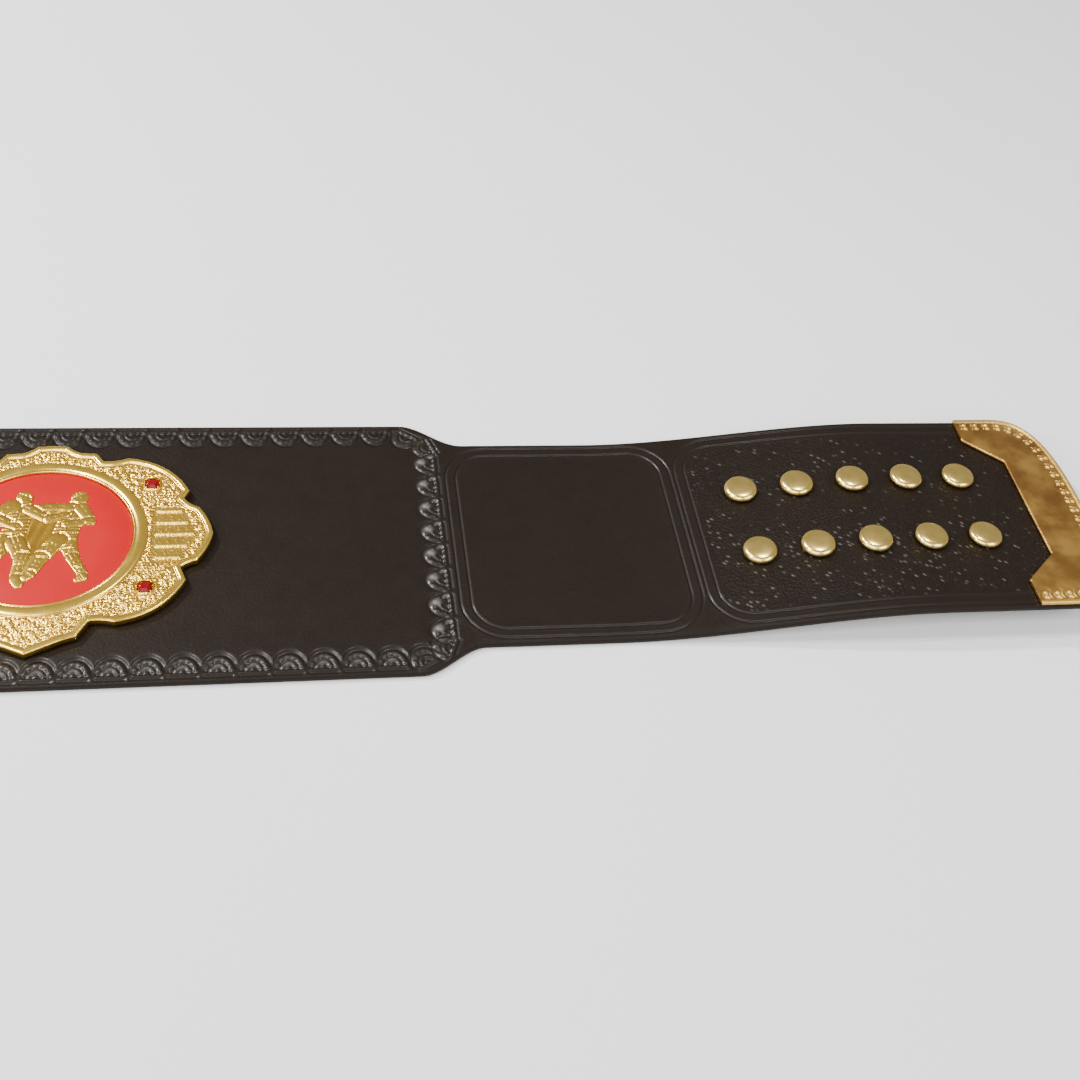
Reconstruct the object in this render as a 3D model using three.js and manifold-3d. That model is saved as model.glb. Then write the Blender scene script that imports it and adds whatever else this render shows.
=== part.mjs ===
// A championship title belt lying flat, front face up.
// Millimetres. X runs along the belt, Y across it (up when worn), Z out of its front face.
// The origin is the middle of the belt on the surface that it lies on.
// The end at +X carries the snap caps and sockets, the end at -X the studs that they close on.
import * as THREE from "three";
import { mergeVertices } from "three/addons/utils/BufferGeometryUtils.js";
import Module from "manifold-3d";

const wasm = await Module();
wasm.setup();

// Clearances
const seatGap = 0.3; // between two pieces that lie on or in each other

// Strap
const strapThickness = 3;
const bodyWidth = 140; // wide middle section
const bodyHalfLength = 148;
const shoulderLength = 27; // the S-curve from the wide section to the tail
const tailWidth = 114;
const endRounding = 28.6; // depth of the rounded end
const endSquareness = 3; // exponent of the end's superellipse: 2 is an ellipse, more is squarer
const liftHeight = 13; // the stiff tails curl up this far off the surface
const liftLength = 138; // length of that rise
const liftRunout = 41; // level stretch between the rise and the tip plate

// Tooled panels on each tail, each a pair of grooves
const panelFromBody = 18.3; // from the body's end to the plain panel's outer groove
const panelLength = 102;
const panelSpacing = 2.2; // between the plain panel and the snap panel
const panelEdge = 2.9; // from the tail's edge to the outer groove
const panelCorner = 19; // outer groove's corner radius
const grooveSpacing = 4.5;
const grooveWidth = 0.9;
const grooveDepth = 0.4;

// Snaps: two rows on each tail
const snapColumns = 5;
const snapPitch = 25.4;
const snapRowSpacing = 36.4;
const snapRowOffset = 1.8; // the rows sit this far above the strap's middle
const snapMargin = 27; // from the snap panel's outer groove to the first column
const shankRadius = 2;
const capRadius = 7.5;
const capHeight = 2.8;
const capRim = 0.8; // height of the cap's upright edge
const socketWall = 3.3;
const socketFloor = 0.8;
const studFlangeRadius = 6.2;
const studFlangeHeight = 0.9;
const studRadius = 2.4;
const studNeckRadius = 2;
const studHeight = 2.7;
const rivetHeadRadius = 5.5;
const rivetHeadHeight = 0.8;

// Tip plate on each end
const tipClearance = 10.4; // from the last snap column to the tip plate's wings
const tipLength = 43.5; // from the wings' inner edge to the strap's end
const tipThickness = 1.2;
const tipEdge = 0.5; // strap left bare round the tip plate
const tipNotchDepth = 16; // how far the middle is set back from the wings
const tipWing = 14.2; // width of each wing
const tipSlant = 14.2; // width of the slanted step beside each wing
const tipRimWidth = 2.2; // raised rim along the outer edge
const tipRimHeight = 0.5;
const tipPinRadius = 1.5;

// Centre plate: a cast plate with a round enamelled field
const plateHalfLength = 67.6;
const plateTop = 51.8;
const plateBottom = 59.8;
const plateRise = 2.9; // the plate sits this far above the strap's middle
const plateThickness = 2.4;
const plateRimWidth = 2.3;
const plateRimHeight = 0.8;
const platePostRadius = 2;
const platePostX = 46;
const platePostY = 22;
const enamelRadius = 36;
const enamelDepth = 1;
const enamelThickness = 0.5;
const ringWidth = 5.4; // plain ring round the enamel
const ringHeight = 1;
const figureHeight = 1.2; // the figures stand this far above the plate's recess
const gemRadius = 2.8;
const gemSquareness = 1.5; // how far the stone's octagon is pulled out into a square
const gemX = 42;
const gemY = 28.4;
const gemSeatWall = 1;
const gemSeatHeight = 0.7;
const gemSeatDepth = 1.4;
const gemCrown = 1; // height of the stone above its girdle
const gemGirdle = 0.3;
const leafCount = 34;
const leafLength = 6.6;
const leafWidth = 2.6;
const leafTurn = 0.9; // each leaf leans this far from pointing outwards
const leafHeight = 0.5;
const leafKeepOut = 6; // no leaf centre nearer than this to a stone
const ribCount = 5;
const ribSpacing = 6.4;
const ribWidth = 1.6;
const ribLength = 15.5; // the middle one's
const ribShortening = 0.4; // how much shorter a rib is for each millimetre off the middle
const ribStart = 3.2; // from the ring to the ribs' inner ends
const ribHeight = 0.7;

// Places worked out from the sizes above, along +X
const tailStart = bodyHalfLength + shoulderLength;
const panelStart = bodyHalfLength + panelFromBody;
const snapPanelStart = panelStart + panelLength + panelSpacing;
const firstSnap = snapPanelStart + snapMargin;
const tipStart = firstSnap + (snapColumns - 1) * snapPitch + tipClearance;
const strapHalfLength = tipStart + tipLength;
const liftEnd = tipStart - liftRunout;
const liftStart = liftEnd - liftLength;
const socketBore = studRadius + seatGap; // a stud of the other tail fits in it
const socketRadius = socketBore + socketWall;
const socketBoreDepth = studHeight + seatGap;
const socketHeight = socketBoreDepth + socketFloor;
const plateSeat = strapThickness + seatGap;
const plateFace = plateSeat + plateThickness;
const recessFloor = plateFace - enamelDepth;

// Smoothness of round work
const roundSides = 12;
const fineSides = 48;

// The plate's outline on its right side, from the top middle to the bottom middle.
// x is a share of plateHalfLength, y of plateTop above the middle and plateBottom below it.
// bulge is how far the stretch to the next row bows outwards, as a share of its length.
const plateOutline = [
  { x: 0.0, y: 1.0, bulge: 0 }, // top lobe's flat
  { x: 0.09, y: 0.992, bulge: -0.06 },
  { x: 0.175, y: 0.915, bulge: 0 },
  { x: 0.27, y: 0.905, bulge: 0 },
  { x: 0.316, y: 0.815, bulge: -0.06 }, // notch
  { x: 0.467, y: 0.85, bulge: 0.137 }, // upper shoulder
  { x: 0.848, y: 0.468, bulge: 0 },
  { x: 0.818, y: 0.385, bulge: -0.08 }, // notch
  { x: 0.911, y: 0.285, bulge: 0.06 }, // side lobe
  { x: 1.0, y: 0.0, bulge: 0.06 },
  { x: 0.911, y: -0.247, bulge: -0.08 },
  { x: 0.818, y: -0.305, bulge: 0 }, // notch
  { x: 0.852, y: -0.418, bulge: 0.137 }, // lower shoulder
  { x: 0.464, y: -0.761, bulge: -0.06 },
  { x: 0.33, y: -0.745, bulge: 0 }, // notch
  { x: 0.268, y: -0.868, bulge: 0 },
  { x: 0.185, y: -0.9, bulge: 0 },
  { x: 0.0, y: -1.0, bulge: 0 }, // bottom point
];

// Two grappling figures as tapered limbs, each from (ax, ay) with radius ar to (bx, by) with radius br.
// All are shares of enamelRadius. rise is a share of figureHeight.
const figureLimbs = [
  { ax: 0.05, ay: 0.3, ar: 0.23, bx: -0.03, by: -0.13, br: 0.2, rise: 0.2 }, // ground between the figures
  { ax: -0.42, ay: 0.3, ar: 0.12, bx: -0.32, by: 0.2, br: 0.11, rise: 0.2 }, // ground inside the left arm
  { ax: 0.42, ay: 0.3, ar: 0.1, bx: 0.33, by: 0.2, br: 0.1, rise: 0.2 }, // ground inside the right arm
  { ax: 0.37, ay: 0.6, ar: 0.1, bx: 0.36, by: 0.54, br: 0.09, rise: 1 }, // right head
  { ax: 0.345, ay: 0.45, ar: 0.13, bx: 0.25, by: -0.04, br: 0.145, rise: 0.5 }, // right trunk
  { ax: 0.41, ay: 0.42, ar: 0.085, bx: 0.52, by: 0.23, br: 0.065, rise: 0.75 }, // right near upper arm
  { ax: 0.52, ay: 0.22, ar: 0.06, bx: 0.26, by: 0.18, br: 0.05, rise: 1 }, // right near forearm
  { ax: 0.3, ay: 0.45, ar: 0.065, bx: -0.1, by: 0.45, br: 0.05, rise: 1 }, // right far arm
  { ax: 0.29, ay: -0.08, ar: 0.115, bx: 0.37, by: -0.33, br: 0.08, rise: 0.5 }, // right rear thigh
  { ax: 0.37, ay: -0.33, ar: 0.08, bx: 0.49, by: -0.56, br: 0.065, rise: 0.5 }, // right rear shin
  { ax: 0.5, ay: -0.61, ar: 0.06, bx: 0.43, by: -0.65, br: 0.035, rise: 0.5 }, // right rear foot
  { ax: 0.19, ay: -0.06, ar: 0.11, bx: 0.02, by: -0.33, br: 0.1, rise: 0.75 }, // right front thigh
  { ax: 0.02, ay: -0.33, ar: 0.1, bx: -0.06, by: -0.53, br: 0.08, rise: 0.75 }, // right front shin
  { ax: -0.06, ay: -0.56, ar: 0.06, bx: -0.1, by: -0.6, br: 0.05, rise: 0.5 }, // right front foot
  { ax: -0.235, ay: 0.61, ar: 0.1, bx: -0.235, by: 0.55, br: 0.09, rise: 1 }, // left head
  { ax: -0.25, ay: 0.45, ar: 0.14, bx: -0.31, by: -0.03, br: 0.14, rise: 0.5 }, // left trunk
  { ax: -0.17, ay: 0.42, ar: 0.07, bx: 0.06, by: 0.26, br: 0.055, rise: 0.75 }, // left near upper arm
  { ax: 0.06, ay: 0.26, ar: 0.055, bx: 0.24, by: 0.33, br: 0.045, rise: 1 }, // left near forearm
  { ax: -0.36, ay: 0.48, ar: 0.1, bx: -0.53, by: 0.33, br: 0.07, rise: 0.75 }, // left far upper arm
  { ax: -0.53, ay: 0.31, ar: 0.065, bx: -0.28, by: 0.16, br: 0.055, rise: 0.75 }, // left far forearm
  { ax: -0.26, ay: -0.08, ar: 0.11, bx: -0.16, by: -0.33, br: 0.1, rise: 0.5 }, // left front thigh
  { ax: -0.16, ay: -0.33, ar: 0.1, bx: -0.19, by: -0.6, br: 0.085, rise: 0.5 }, // left front shin
  { ax: -0.19, ay: -0.63, ar: 0.08, bx: -0.17, by: -0.68, br: 0.07, rise: 0.5 }, // left front foot
  { ax: -0.36, ay: -0.08, ar: 0.11, bx: -0.48, by: -0.32, br: 0.08, rise: 0.5 }, // left rear thigh
  { ax: -0.48, ay: -0.32, ar: 0.08, bx: -0.5, by: -0.54, br: 0.055, rise: 0.5 }, // left rear shin
  { ax: -0.5, ay: -0.58, ar: 0.045, bx: -0.61, by: -0.6, br: 0.035, rise: 0.5 }, // left rear foot
];

// Materials
const leather = new THREE.MeshStandardMaterial({ color: 0x1a1512, roughness: 0.55, metalness: 0 });
const gold = new THREE.MeshStandardMaterial({ color: 0xd2a050, roughness: 0.25, metalness: 1 });
const tipGold = new THREE.MeshStandardMaterial({ color: 0xa8763a, roughness: 0.35, metalness: 1 });
const brass = new THREE.MeshStandardMaterial({ color: 0xc8ac70, roughness: 0.25, metalness: 1 });
const enamelRed = new THREE.MeshStandardMaterial({ color: 0xc8342a, roughness: 0.4, metalness: 0 });
const stoneRed = new THREE.MeshStandardMaterial({ color: 0xa01818, roughness: 0.1, metalness: 0 });

const smoothStep = (t) => t * t * (3 - 2 * t);
const clampShare = (t) => Math.min(1, Math.max(0, t));

// Height of the strap's underside above the surface at a distance along the belt.
function liftAt(x) {
  return liftHeight * smoothStep(clampShare((Math.abs(x) - liftStart) / liftLength));
}

// Angle of the strap at a distance along the belt, positive where it rises towards +X.
function tiltAt(x) {
  const step = 0.01;
  return Math.atan((liftAt(x + step) - liftAt(x - step)) / (2 * step));
}

// Half the strap's width at a distance along the belt.
function halfWidthAt(x) {
  const d = Math.abs(x);
  const narrowing = smoothStep(clampShare((d - bodyHalfLength) / shoulderLength));
  const width = bodyWidth + (tailWidth - bodyWidth) * narrowing;
  const intoEnd = clampShare((d - (strapHalfLength - endRounding)) / endRounding);
  return (width / 2) * (1 - intoEnd ** endSquareness) ** (1 / endSquareness);
}

// Moves a geometry from the flat, where z is the height in the strap, onto the curved strap.
function bendOntoStrap(geometry) {
  const position = geometry.getAttribute("position");
  for (let i = 0; i < position.count; i++) {
    const x = position.getX(i);
    const height = position.getZ(i);
    const tilt = tiltAt(x);
    position.setX(i, x - height * Math.sin(tilt));
    position.setZ(i, liftAt(x) + height * Math.cos(tilt));
  }
  return geometry;
}

function solidFrom(geometry) {
  const bare = new THREE.BufferGeometry();
  const source = geometry.index ? geometry.toNonIndexed() : geometry;
  bare.setAttribute("position", source.getAttribute("position"));
  const merged = mergeVertices(bare, 1e-3);
  return new wasm.Manifold(
    new wasm.Mesh({
      numProp: 3,
      vertProperties: merged.attributes.position.array,
      triVerts: new Uint32Array(merged.index.array),
    }),
  );
}

function geometryFrom(solid) {
  const { vertProperties, triVerts } = solid.getMesh();
  const geometry = new THREE.BufferGeometry();
  geometry.setAttribute("position", new THREE.BufferAttribute(vertProperties, 3));
  geometry.setIndex(new THREE.BufferAttribute(triVerts, 1));
  geometry.computeVertexNormals();
  return geometry;
}

// An upright prism of a shape between two heights. A full circle gets twice curveSegments sides.
function prism(shape, bottom, top, curveSegments = fineSides / 2) {
  const geometry = new THREE.ExtrudeGeometry(shape, {
    depth: top - bottom,
    bevelEnabled: false,
    curveSegments,
  });
  return geometry.translate(0, 0, bottom);
}

function upright(radius, bottom, top, sides = roundSides) {
  const geometry = new THREE.CylinderGeometry(radius, radius, top - bottom, sides);
  return geometry.rotateX(Math.PI / 2).translate(0, 0, (top + bottom) / 2);
}

// A turned piece about Z from [radius, height] pairs that start and end on the axis.
function turned(profile, sides = roundSides) {
  const points = profile.map(([radius, height]) => new THREE.Vector2(radius, height));
  return new THREE.LatheGeometry(points, sides).rotateX(Math.PI / 2);
}

// Where each snap goes on the tail on one side, +1 or -1: its place on the strap's front and its tilt.
function snapPlaces(side) {
  const places = [];
  for (const row of [1, -1]) {
    for (let column = 0; column < snapColumns; column++) {
      const x = side * (firstSnap + column * snapPitch);
      const y = snapRowOffset + (row * snapRowSpacing) / 2;
      places.push({ x, y, z: liftAt(x), tilt: tiltAt(x) });
    }
  }
  return places;
}

function tipPinPlaces(side) {
  const wingX = tipStart + tipLength * 0.22;
  const middleX = tipStart + tipLength * 0.7;
  const wingY = tailWidth / 2 - tipWing * 0.5;
  return [
    { x: side * wingX, y: wingY },
    { x: side * wingX, y: -wingY },
    { x: side * middleX, y: 0 },
  ];
}

function platePostPlaces() {
  const places = [];
  for (const x of [platePostX, -platePostX]) {
    for (const y of [platePostY, -platePostY]) places.push({ x, y });
  }
  return places;
}

// Stations along one half of the strap, closer together where its outline or its lift turns.
function strapStations() {
  const stations = [0, bodyHalfLength];
  const stretch = (from, to, steps) => {
    for (let i = 1; i <= steps; i++) stations.push(from + ((to - from) * i) / steps);
  };
  stretch(bodyHalfLength, tailStart, 6);
  stretch(Math.max(tailStart, liftStart), liftEnd, 9);
  if (liftStart > tailStart) stations.push(liftStart);
  const roundingStart = strapHalfLength - endRounding;
  stations.push(roundingStart);
  for (let i = 1; i <= 8; i++) {
    const angle = (i / 8) * THREE.MathUtils.degToRad(84);
    stations.push(roundingStart + endRounding * Math.sin(angle) ** (2 / endSquareness));
  }
  return [...new Set(stations)].sort((a, b) => a - b);
}

// The loop of a groove round a panel, as places on the flat strap with the way outwards at each.
// The snap panel's loops end square, out of sight under the tip plate.
function grooveLoop(start, end, inset, squareEnd) {
  const x0 = start + inset;
  const x1 = squareEnd ? end : end - inset;
  const y1 = tailWidth / 2 - panelEdge - inset;
  const radius = panelCorner - inset;
  const x2 = squareEnd ? x1 : x1 - radius;
  const loop = [];
  const corner = (cx, cy, from) => {
    for (let i = 0; i <= 3; i++) {
      const angle = from + ((Math.PI / 2) * i) / 3;
      const out = new THREE.Vector2(Math.cos(angle), Math.sin(angle));
      loop.push({ place: new THREE.Vector2(cx, cy).addScaledVector(out, radius), out });
    }
  };
  const level = (side) => {
    const between = strapStations().filter((x) => x > x0 + radius + 2 && x < x2 - 2);
    if (side > 0) between.reverse();
    for (const x of between) {
      loop.push({ place: new THREE.Vector2(x, side * y1), out: new THREE.Vector2(0, side) });
    }
  };
  corner(x0 + radius, y1 - radius, Math.PI / 2);
  corner(x0 + radius, -y1 + radius, Math.PI);
  level(-1);
  if (squareEnd) {
    loop.push({ place: new THREE.Vector2(x1, -y1), out: new THREE.Vector2(1, -1) });
    loop.push({ place: new THREE.Vector2(x1, y1), out: new THREE.Vector2(1, 1) });
  } else {
    corner(x2, -y1 + radius, -Math.PI / 2);
    corner(x2, y1 - radius, 0);
  }
  level(1);
  return loop;
}

// A closed ring along a loop. The section is given as [distance outwards, height] pairs.
function ringAlong(loop, section) {
  const closed = [...section, section[0]];
  const points = closed.map(([across, height]) => new THREE.Vector2(across, height));
  const geometry = new THREE.LatheGeometry(points, loop.length);
  const position = geometry.getAttribute("position");
  for (let i = 0; i < position.count; i++) {
    const { place, out } = loop[Math.floor(i / closed.length) % loop.length];
    const [across, height] = closed[i % closed.length];
    position.setXYZ(i, place.x + out.x * across, place.y + out.y * across, height);
  }
  return geometry;
}

function grooveCutter(start, end, inset, squareEnd) {
  const half = grooveWidth / 2;
  const bottom = strapThickness - grooveDepth;
  const top = strapThickness + 1;
  const section = [[half, bottom], [half, top], [-half, top], [-half, bottom]];
  return ringAlong(grooveLoop(start, end, inset, squareEnd), section);
}

function makeStrap() {
  const half = strapStations();
  const stations = [...half.slice(1).reverse().map((x) => -x), ...half];
  const geometry = new THREE.BoxGeometry(1, 1, 1, stations.length - 1, 1, 1);
  const position = geometry.getAttribute("position");
  for (let i = 0; i < position.count; i++) {
    const x = stations[Math.round((position.getX(i) + 0.5) * (stations.length - 1))];
    const side = Math.sign(position.getY(i));
    position.setXYZ(i, x, side * halfWidthAt(x), position.getZ(i) > 0 ? strapThickness : 0);
  }
  let strap = solidFrom(bendOntoStrap(geometry));
  const cut = (cutter) => {
    strap = strap.subtract(solidFrom(cutter));
  };
  for (const side of [1, -1]) {
    for (const place of snapPlaces(side)) {
      const hole = upright(shankRadius + seatGap, -1, strapThickness + 1, 8);
      hole.rotateY(-place.tilt).translate(place.x, place.y, place.z);
      cut(hole);
    }
    for (const place of tipPinPlaces(side)) {
      const hole = upright(tipPinRadius + seatGap, -1, strapThickness + 1, 8);
      cut(hole.translate(place.x, place.y, liftAt(place.x)));
    }
    for (const inset of [0, grooveSpacing]) {
      const plain = grooveCutter(panelStart, panelStart + panelLength, inset, false);
      const snap = grooveCutter(snapPanelStart, tipStart + tipNotchDepth + 6, inset, true);
      for (const groove of [plain, snap]) {
        if (side < 0) groove.rotateZ(Math.PI);
        cut(bendOntoStrap(groove));
      }
    }
  }
  for (const place of platePostPlaces()) {
    const hole = upright(platePostRadius + seatGap, -1, strapThickness + 1, 8);
    cut(hole.translate(place.x, place.y + plateRise, 0));
  }
  return geometryFrom(strap);
}

// Moves the corners of an outline inwards so that each edge shifts by the same distance.
// The outline's points run anticlockwise.
function drawnIn(points, distance) {
  return points.map((point, i) => {
    const before = points.at(i - 1);
    const after = points[(i + 1) % points.length];
    const first = point.clone().sub(before).normalize();
    const second = after.clone().sub(point).normalize();
    const inward = new THREE.Vector2(-first.y - second.y, first.x + second.x);
    return point.clone().addScaledVector(inward, distance / (1 + first.dot(second)));
  });
}

// The plate's outline, anticlockwise.
function plateCorners() {
  const corner = ({ x, y }) =>
    new THREE.Vector2(x * plateHalfLength, y * (y > 0 ? plateTop : plateBottom));
  const side = [];
  for (let i = 0; i < plateOutline.length - 1; i++) {
    const from = corner(plateOutline[i]);
    const chord = corner(plateOutline[i + 1]).sub(from);
    const outward = new THREE.Vector2(-chord.y, chord.x);
    const bulge = plateOutline[i].bulge;
    const steps = bulge === 0 ? 1 : Math.max(2, Math.round(chord.length() / 7));
    for (let k = 0; k < steps; k++) {
      const t = k / steps;
      const point = from.clone().addScaledVector(chord, t);
      side.push(point.addScaledVector(outward, 4 * bulge * t * (1 - t)));
    }
  }
  const right = [...side, corner(plateOutline.at(-1))];
  const left = side.slice(1).reverse().map((point) => new THREE.Vector2(-point.x, point.y));
  return [...right, ...left].reverse();
}

function plateShape(inset = 0) {
  return new THREE.Shape(drawnIn(plateCorners(), inset));
}

function circleShape(radius) {
  return new THREE.Shape().absarc(0, 0, radius, 0, 2 * Math.PI, false);
}

// The outline of a limb: two circles and their outer tangents.
function limbShape(limb, grow = 0) {
  const ax = limb.ax * enamelRadius;
  const ay = limb.ay * enamelRadius;
  const bx = limb.bx * enamelRadius;
  const by = limb.by * enamelRadius;
  const ar = limb.ar * enamelRadius + grow;
  const br = limb.br * enamelRadius + grow;
  const along = Math.atan2(by - ay, bx - ax);
  const distance = Math.hypot(bx - ax, by - ay);
  const spread = Math.acos(Math.max(-1, Math.min(1, (ar - br) / distance)));
  const shape = new THREE.Shape();
  shape.absarc(ax, ay, ar, along + spread, along - spread + 2 * Math.PI, false);
  shape.absarc(bx, by, br, along - spread, along + spread, false);
  return shape;
}

// A pointed leaf along +X, from its foot at the origin.
function leafShape() {
  const shape = new THREE.Shape();
  shape.moveTo(-leafLength / 2, 0);
  shape.quadraticCurveTo(0, -leafWidth, leafLength / 2, 0);
  shape.quadraticCurveTo(0, leafWidth, -leafLength / 2, 0);
  return shape;
}

function nearStone(x, y) {
  return Math.hypot(Math.abs(x) - gemX, Math.abs(y) - gemY) < leafKeepOut;
}

// The distance from the plate's middle to its outline in a direction.
function plateReach(angle) {
  const points = plateCorners();
  const ray = new THREE.Vector2(Math.cos(angle), Math.sin(angle));
  let reach = 0;
  for (let i = 0; i < points.length; i++) {
    const a = points[i];
    const b = points[(i + 1) % points.length];
    const crossA = ray.cross(a);
    const crossB = ray.cross(b);
    if (crossA * crossB > 0 || crossA === crossB) continue;
    const hit = a.clone().lerp(b, crossA / (crossA - crossB)).dot(ray);
    reach = Math.max(reach, hit);
  }
  return reach;
}

// Leaves in the field between the ring and the rim, leaning to and fro in turn.
function leafPrisms() {
  const leaves = [];
  for (let i = 0; i < leafCount; i++) {
    const angle = (2 * Math.PI * (i + 0.5)) / leafCount;
    const inner = enamelRadius + ringWidth;
    const outer = plateReach(angle) - plateRimWidth;
    const x = ((inner + outer) / 2) * Math.cos(angle);
    const y = ((inner + outer) / 2) * Math.sin(angle);
    const onRibs = Math.abs(y) < (ribCount * ribSpacing) / 2 && Math.abs(x) > inner;
    if (nearStone(x, y) || onRibs) continue;
    const lean = i % 2 === 0 ? leafTurn : -leafTurn;
    const leaf = prism(leafShape(), plateFace - 0.2, plateFace + leafHeight, 3);
    leaves.push(leaf.rotateZ(angle + lean).translate(x, y, 0));
  }
  return leaves;
}

// Level bars across each side lobe.
function ribPrisms() {
  const ribs = [];
  for (const side of [1, -1]) {
    for (let i = 0; i < ribCount; i++) {
      const offset = (i - (ribCount - 1) / 2) * ribSpacing;
      const length = ribLength - Math.abs(offset) * ribShortening;
      const rib = new THREE.BoxGeometry(length, ribWidth, ribHeight + 0.2);
      const start = enamelRadius + ringWidth + ribStart;
      rib.translate(side * (start + length / 2), offset, plateFace + (ribHeight - 0.2) / 2);
      ribs.push(rib);
    }
  }
  return ribs;
}

// Builds the plate about its own middle; the mesh is placed plateRise above the strap's.
function makePlate() {
  let plate = solidFrom(prism(plateShape(), plateSeat, plateFace + plateRimHeight));
  const add = (piece) => {
    plate = plate.add(solidFrom(piece));
  };
  const cut = (cutter) => {
    plate = plate.subtract(solidFrom(cutter));
  };
  const above = plateFace + plateRimHeight + 5;
  cut(prism(plateShape(plateRimWidth), plateFace, above));
  add(prism(circleShape(enamelRadius + ringWidth), plateSeat + 0.1, plateFace + ringHeight));
  cut(prism(circleShape(enamelRadius), recessFloor, above));
  for (const leaf of leafPrisms()) add(leaf);
  for (const rib of ribPrisms()) add(rib);
  for (const limb of figureLimbs) {
    const top = recessFloor + figureHeight * (0.6 + 0.4 * limb.rise);
    add(prism(limbShape(limb), recessFloor - 0.2, top, 3));
  }
  const seatTop = plateFace + gemSeatHeight;
  for (const [sx, sy] of [[1, 1], [1, -1], [-1, 1], [-1, -1]]) {
    const seat = squared(upright(gemRadius + seatGap + gemSeatWall, plateSeat + 0.1, seatTop, 8));
    const pocket = squared(upright(gemRadius + seatGap, seatTop - gemSeatDepth, above, 8));
    add(seat.translate(sx * gemX, sy * gemY, 0));
    cut(pocket.translate(sx * gemX, sy * gemY, 0));
  }
  for (const { x, y } of platePostPlaces()) {
    add(upright(platePostRadius, seatGap, plateSeat + 0.5, 8).translate(x, y, 0));
  }
  return geometryFrom(plate);
}

// The red filling of the recess, with the figures' outline cut out of it.
function makeEnamel() {
  const bottom = recessFloor + seatGap;
  const top = bottom + enamelThickness;
  let enamel = solidFrom(prism(circleShape(enamelRadius - seatGap), bottom, top));
  for (const limb of figureLimbs) {
    enamel = enamel.subtract(solidFrom(prism(limbShape(limb, seatGap), bottom - 1, top + 1, 3)));
  }
  return enamel;
}

// Pulls an eight-sided piece about Z out into a square with cut corners.
function squared(geometry) {
  geometry.rotateZ(Math.PI / 8);
  const position = geometry.getAttribute("position");
  for (let i = 0; i < position.count; i++) {
    const x = position.getX(i);
    const y = position.getY(i);
    if (Math.abs(x) > Math.abs(y)) position.setY(i, y * gemSquareness);
    else position.setX(i, x * gemSquareness);
  }
  return geometry;
}

// A step-cut stone: table, eight crown facets, girdle and eight pavilion facets.
function makeGem() {
  const girdle = gemSeatDepth - seatGap - gemGirdle;
  const profile = [
    [0, 0],
    [gemRadius * 0.5, 0],
    [gemRadius, girdle],
    [gemRadius, girdle + gemGirdle],
    [gemRadius * 0.6, girdle + gemGirdle + gemCrown],
    [0, girdle + gemGirdle + gemCrown],
  ];
  return squared(turned(profile, 8));
}

// The tip plate: its outer edge follows the strap's end, drawn in by edge, and its inner edge is stepped.
// reach moves the inner edge towards the snaps.
function tipShape(edge, reach = 0) {
  const depth = endRounding - edge;
  const halfWidth = tailWidth / 2 - edge;
  const wingX = tipStart - reach;
  const middleX = tipStart + tipNotchDepth - reach;
  const upper = [[wingX, halfWidth]];
  const steps = 8;
  for (let i = 0; i <= steps; i++) {
    const angle = (i / steps) * THREE.MathUtils.degToRad(86);
    const x = strapHalfLength - endRounding + depth * Math.sin(angle) ** (2 / endSquareness);
    upper.push([x, halfWidth * Math.cos(angle) ** (2 / endSquareness)]);
  }
  const wingY = tailWidth / 2 - tipWing;
  const inner = [
    [wingX, wingY],
    [middleX, wingY - tipSlant],
    [middleX, tipSlant - wingY],
    [wingX, -wingY],
  ];
  const lower = upper.map(([x, y]) => [x, -y]);
  const clockwise = [...upper, ...lower.reverse(), ...inner.reverse()];
  return new THREE.Shape(clockwise.reverse().map(([x, y]) => new THREE.Vector2(x, y)));
}

function makeTip() {
  const seat = strapThickness + seatGap;
  const face = seat + tipThickness;
  const within = tipShape(tipEdge + tipRimWidth, 1);
  let tip = solidFrom(prism(tipShape(tipEdge), seat, face + tipRimHeight));
  tip = tip.subtract(solidFrom(prism(within, face, face + tipRimHeight + 1)));
  for (const { x, y } of tipPinPlaces(1)) {
    tip = tip.add(solidFrom(upright(tipPinRadius, seatGap, seat + 0.4, 8).translate(x, y, 0)));
  }
  return bendOntoStrap(geometryFrom(tip));
}

// Snap cap on the front, shank through the strap and socket on the back, closed as one piece.
function makeSnapCap() {
  const under = strapThickness + seatGap;
  const back = -seatGap;
  const dome = [0.35, 0.7, 1].map((t) => {
    const height = (capHeight - capRim) * Math.sqrt(1 - (0.94 * t) ** 2);
    return [capRadius * t, under + capRim + height * (1 - 0.1 * t)];
  });
  const profile = [
    [0, back - socketHeight + socketBoreDepth],
    [socketBore, back - socketHeight + socketBoreDepth],
    [socketBore, back - socketHeight],
    [socketRadius - 0.4, back - socketHeight],
    [socketRadius, back],
    [shankRadius, back],
    [shankRadius, under],
    [capRadius, under],
    ...dome.reverse(),
    [0, under + capHeight],
  ];
  return turned(profile);
}

// Stud on the front, shank through the strap and rivet head on the back.
function makeSnapStud() {
  const under = strapThickness + seatGap;
  const back = -seatGap;
  const flange = under + studFlangeHeight;
  return turned([
    [0, back - rivetHeadHeight],
    [rivetHeadRadius - 0.6, back - rivetHeadHeight],
    [rivetHeadRadius, back],
    [shankRadius, back],
    [shankRadius, under],
    [studFlangeRadius, under],
    [studFlangeRadius - 0.6, flange],
    [studNeckRadius, flange],
    [studRadius, flange + studHeight * 0.6],
    [studRadius - 0.6, flange + studHeight],
    [0, flange + studHeight],
  ], 10);
}

const belt = new THREE.Group();

function addPiece(name, geometry, material, parent = belt) {
  const mesh = new THREE.Mesh(geometry, material);
  mesh.name = name;
  parent.add(mesh);
  return mesh;
}

addPiece("strap", makeStrap(), leather);

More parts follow.
